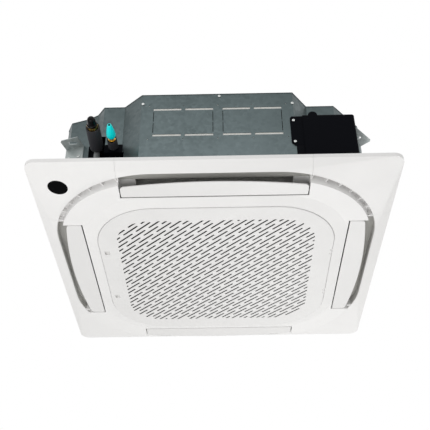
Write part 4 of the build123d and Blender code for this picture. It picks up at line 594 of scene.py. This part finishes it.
def turned_along_y(x_place, z_place, rings, sides=32):
    """A round piece whose front face, looking along -Y, is drawn out from ring to ring. A
    ring is its place along Y and its radius, and the second ring is as wide as the first."""
    (first, radius), (second, _) = rings[:2]
    bpy.ops.object.select_all(action="DESELECT")
    bpy.ops.mesh.primitive_cylinder_add(vertices=sides, radius=radius, depth=first - second,
                                        location=(x_place, (first + second) / 2, z_place),
                                        rotation=(pi / 2, 0.0, 0.0))
    piece = bpy.context.object
    bpy.ops.object.transform_apply(location=True, rotation=True, scale=True)
    choose(piece, "FACE", lambda middle, normal: normal.y < -0.99)
    last_y, last_radius = second, radius
    for ring_y, ring_radius in rings[2:]:
        bpy.ops.mesh.extrude_region_move(
            TRANSFORM_OT_translate={"value": (0.0, ring_y - last_y, 0.0)})
        share = ring_radius / last_radius
        bpy.ops.transform.resize(value=(share, 1.0, share),
                                 center_override=(x_place, ring_y, z_place))
        last_y, last_radius = ring_y, ring_radius
    return piece


# The two pipes end here, across and above the grille's face
gas_x, gas_z, liquid_x, liquid_z = -0.318, 0.190, -0.270, 0.174
# Black cap: a rolled skirt as wide as the nut, and a narrower domed end
gas_cap_rings = [(-0.4450, 0.0140), (-0.4470, 0.0146), (-0.4496, 0.0143), (-0.4514, 0.0122),
                 (-0.4560, 0.0114), (-0.4640, 0.0109), (-0.4688, 0.0095), (-0.4718, 0.0072),
                 (-0.4734, 0.0042), (-0.4740, 0.0008)]
gas_dome = turned_along_y(gas_x, gas_z, gas_cap_rings)
settle(gas_dome, "gas_transit_cap", cap_black_pe, smooth=40.0)
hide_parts("gas_cap")
# Cyan cap: a bulb that narrows to an open nose, pushed over the nut's threaded nose
cyan_cap_rings = [(-0.4150, 0.0092), (-0.4158, 0.0092), (-0.4168, 0.0106), (-0.4195, 0.0118),
                  (-0.4240, 0.0122), (-0.4300, 0.0119), (-0.4370, 0.0110), (-0.4440, 0.0096),
                  (-0.4510, 0.0080), (-0.4570, 0.0064), (-0.4612, 0.0055), (-0.4619, 0.0048),
                  (-0.4619, 0.0036), (-0.4480, 0.0032)]
cyan_bulb = turned_along_y(liquid_x, liquid_z, cyan_cap_rings)
settle(cyan_bulb, "liquid_transit_cap", cap_cyan_pe, smooth=40.0)
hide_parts("liquid_cap")
# The bulb's open mouth is lined in black: painted shade deep in the hole
mouth_rings = [(-0.4500, 0.0030), (-0.4610, 0.0030), (-0.4614, 0.0034)]
cap_mouth_shade = turned_along_y(liquid_x, liquid_z, mouth_rings)
settle(cap_mouth_shade, "liquid_cap_mouth_shade", cap_black_pe, smooth=30.0)
# The liquid nut's brass nose shows between its sleeve and the cyan cap
nose_rings = [(-0.4062, 0.0080), (-0.4095, 0.0080), (-0.4100, 0.0074), (-0.4149, 0.0074)]
nut_nose = turned_along_y(liquid_x, liquid_z, nose_rings)
settle(nut_nose, "liquid_nut_nose", brass, smooth=30.0)

# ------------------------------------------------------------------ black boxes
# The wiring box and the tray behind the pipes are moulded in black flame-retardant
# ABS with a light texture. A cuff of the drain hose's grey PVC stands in the tray, and
# the terminal block in the box is cream PBT, as the pump and the float switch are.

box_abs = moulded("black_flame_retardant_ABS", "04050a", "07090f", 0.5, grain_mm=1.6,
                  grain_depth=0.12, ior=1.53, specular=0.03)
dress(box_abs, "wiring_box_cover", "pipe_tray")
# Cable skirt below the box's screw flange
skirt_low, skirt_high = (0.215, -0.4219, 0.0582), (0.2400, -0.4201, 0.1279)
skirt = block(skirt_low, skirt_high)
choose(skirt, "EDGE", lambda middle, way: middle.y < skirt_low[1] + NEAR)
bpy.ops.mesh.bevel(offset=0.0005, segments=2)
settle(skirt, "wiring_box_skirt", box_abs)
# Flange of the tray round the liquid pipe, laid on the set-back sheet
flange_low, flange_high = (-0.2945, -0.3762, 0.1535), (-0.2406, -0.3741, 0.1810)
tray_flange = block(flange_low, flange_high)
choose(tray_flange, "EDGE", lambda middle, way: abs(way.y) > ALONG
       and middle.z > flange_high[2] - NEAR)
bpy.ops.mesh.bevel(offset=0.006, segments=5)
settle(tray_flange, "tray_flange", box_abs)
# Grey cuff that wraps the gas pipe's riser inside the tray, turned lying down and then
# stood up with its first ring at the top
cuff_top, cuff_y = 0.1815, -0.3450
cuff_rings = [(0.0, 0.0080), (-0.006, 0.0080), (-0.0066, 0.0088), (-0.104, 0.0088),
              (-0.1046, 0.0096), (-0.1086, 0.0096), (-0.1092, 0.0088), (-0.1146, 0.0088),
              (-0.1152, 0.0082)]
cuff = turned_along_y(gas_x, 0.0, cuff_rings)
bpy.ops.mesh.select_all(action="SELECT")
bpy.ops.transform.rotate(value=-pi / 2, orient_axis="X", center_override=(gas_x, 0.0, 0.0))
bpy.ops.transform.translate(value=(0.0, cuff_y, cuff_top))
hose_pvc = moulded("grey_PVC", "8f9192", "7f8283", 0.35)
settle(cuff, "gas_riser_cuff", hose_pvc, smooth=30.0)
dress(hose_pvc, "drain_hose", "drain_outlet")
terminal_pbt = moulded("cream_PBT", "cfc9b4", "c4bda7", 0.45, grain_depth=0.03)
dress(terminal_pbt, "terminal_block", "drain_pump", "float_switch")

# ------------------------------------------------------------------ air moving parts
# Bell mouth and turbo fan are moulded ABS and glass-filled polypropylene, and the motor
# is cast aluminium, painted black.

bell_abs = moulded("grey_white_ABS", "cfcdc8", "c6c4bf", 0.4)
dress(bell_abs, "bell_mouth")
fan_pp = moulded("glass_filled_polypropylene", "a3a7a9", "989da0", 0.45)
dress(fan_pp, "fan_wheel")
motor_paint = moulded("black_enamel_on_casting", "2a2b2d", "1f2022", 0.45, grain_mm=2.0,
                      grain_depth=0.2)
dress(motor_paint, "fan_motor")

# ------------------------------------------------------------------ room and lamps
# A pale floor well below the unit, which hangs from its ceiling rods in the room.

floor_size, floor_z = 40.0, -1.75
bpy.ops.mesh.primitive_plane_add(size=floor_size, location=(0.0, 0.0, floor_z))
floor = bpy.context.object
floor.name = "floor"
floor_paint, surface, place = new_finish("pale_floor_paint")
surface.inputs["Base Color"].default_value = linear("f2f2f1")
surface.inputs["Roughness"].default_value = 0.6
floor.data.materials.append(floor_paint)

scene = bpy.context.scene
world = bpy.data.worlds.new("studio_air")
scene.world = world
world.use_nodes = True
world.node_tree.nodes.clear()
# What the camera sees past the floor, and what metal and plastic mirror, is white. What
# lights the object is dimmer, so that pale surfaces keep their tone.
seen_strength, light_strength = 1.0, 0.65
rays = add_node(world, "ShaderNodeLightPath")
first_seen = add_node(world, "ShaderNodeMath", [("operation", "MAXIMUM")],
                      [(0, rays, "Is Camera Ray"), (1, rays, "Is Transmission Ray")])
seen = add_node(world, "ShaderNodeMath", [("operation", "MAXIMUM")],
                [(0, first_seen, 0), (1, rays, "Is Glossy Ray")])
plain, white = (add_node(world, "ShaderNodeBackground",
                         [("Color", linear("ffffff")), ("Strength", strength)])
                for strength in (light_strength, seen_strength))
either = add_node(world, "ShaderNodeMixShader", links=[(0, seen, 0), (1, plain, 0), (2, white, 0)])
add_node(world, "ShaderNodeOutputWorld", links=[("Surface", either, 0)])


def softbox(name, place, aim, size, watts):
    """A square area lamp that faces a point."""
    bpy.ops.object.light_add(type="AREA", location=place)
    lamp = bpy.context.object
    lamp.name = name
    lamp.data.size = size
    lamp.data.energy = watts
    lamp.rotation_mode = "QUATERNION"
    lamp.rotation_quaternion = (Vector(aim) - Vector(place)).to_track_quat("-Z", "Y")


softbox("key_front_below", (-0.7, -1.0, -1.7), (0.0, 0.0, 0.05), 1.8, 23.0)
softbox("far_below", (0.6, 1.1, -1.65), (0.1, 0.3, 0.03), 1.8, 21.0)
softbox("top_front", (-0.6, -2.4, 2.2), (0.0, -0.2, 0.2), 1.6, 4.0)

# ------------------------------------------------------------------ camera
# Placed where the photograph was taken from: in front of the pipe side, 1.2 m below
# the panel, looking up at 36 degrees.

pitch, yaw, roll = 0.625594720, 0.0134886640, 0.00905150812
focal_pixels, photo_pixels, sensor_mm = 773.360232, 430.0, 36.0
bpy.ops.object.camera_add(location=(0.0219913566, -1.94332566, -1.18991177))
camera = bpy.context.object
camera.data.sensor_width = sensor_mm
camera.data.lens = focal_pixels / photo_pixels * sensor_mm
camera.rotation_mode = "QUATERNION"
ahead = Vector((-sin(yaw) * cos(pitch), cos(yaw) * cos(pitch), sin(pitch)))
camera.rotation_quaternion = (ahead.to_track_quat("-Z", "Y") @ Quaternion((0, 0, 1), -roll))
scene.camera = camera
scene.view_settings.view_transform = "Standard"

bpy.context.view_layer.update()
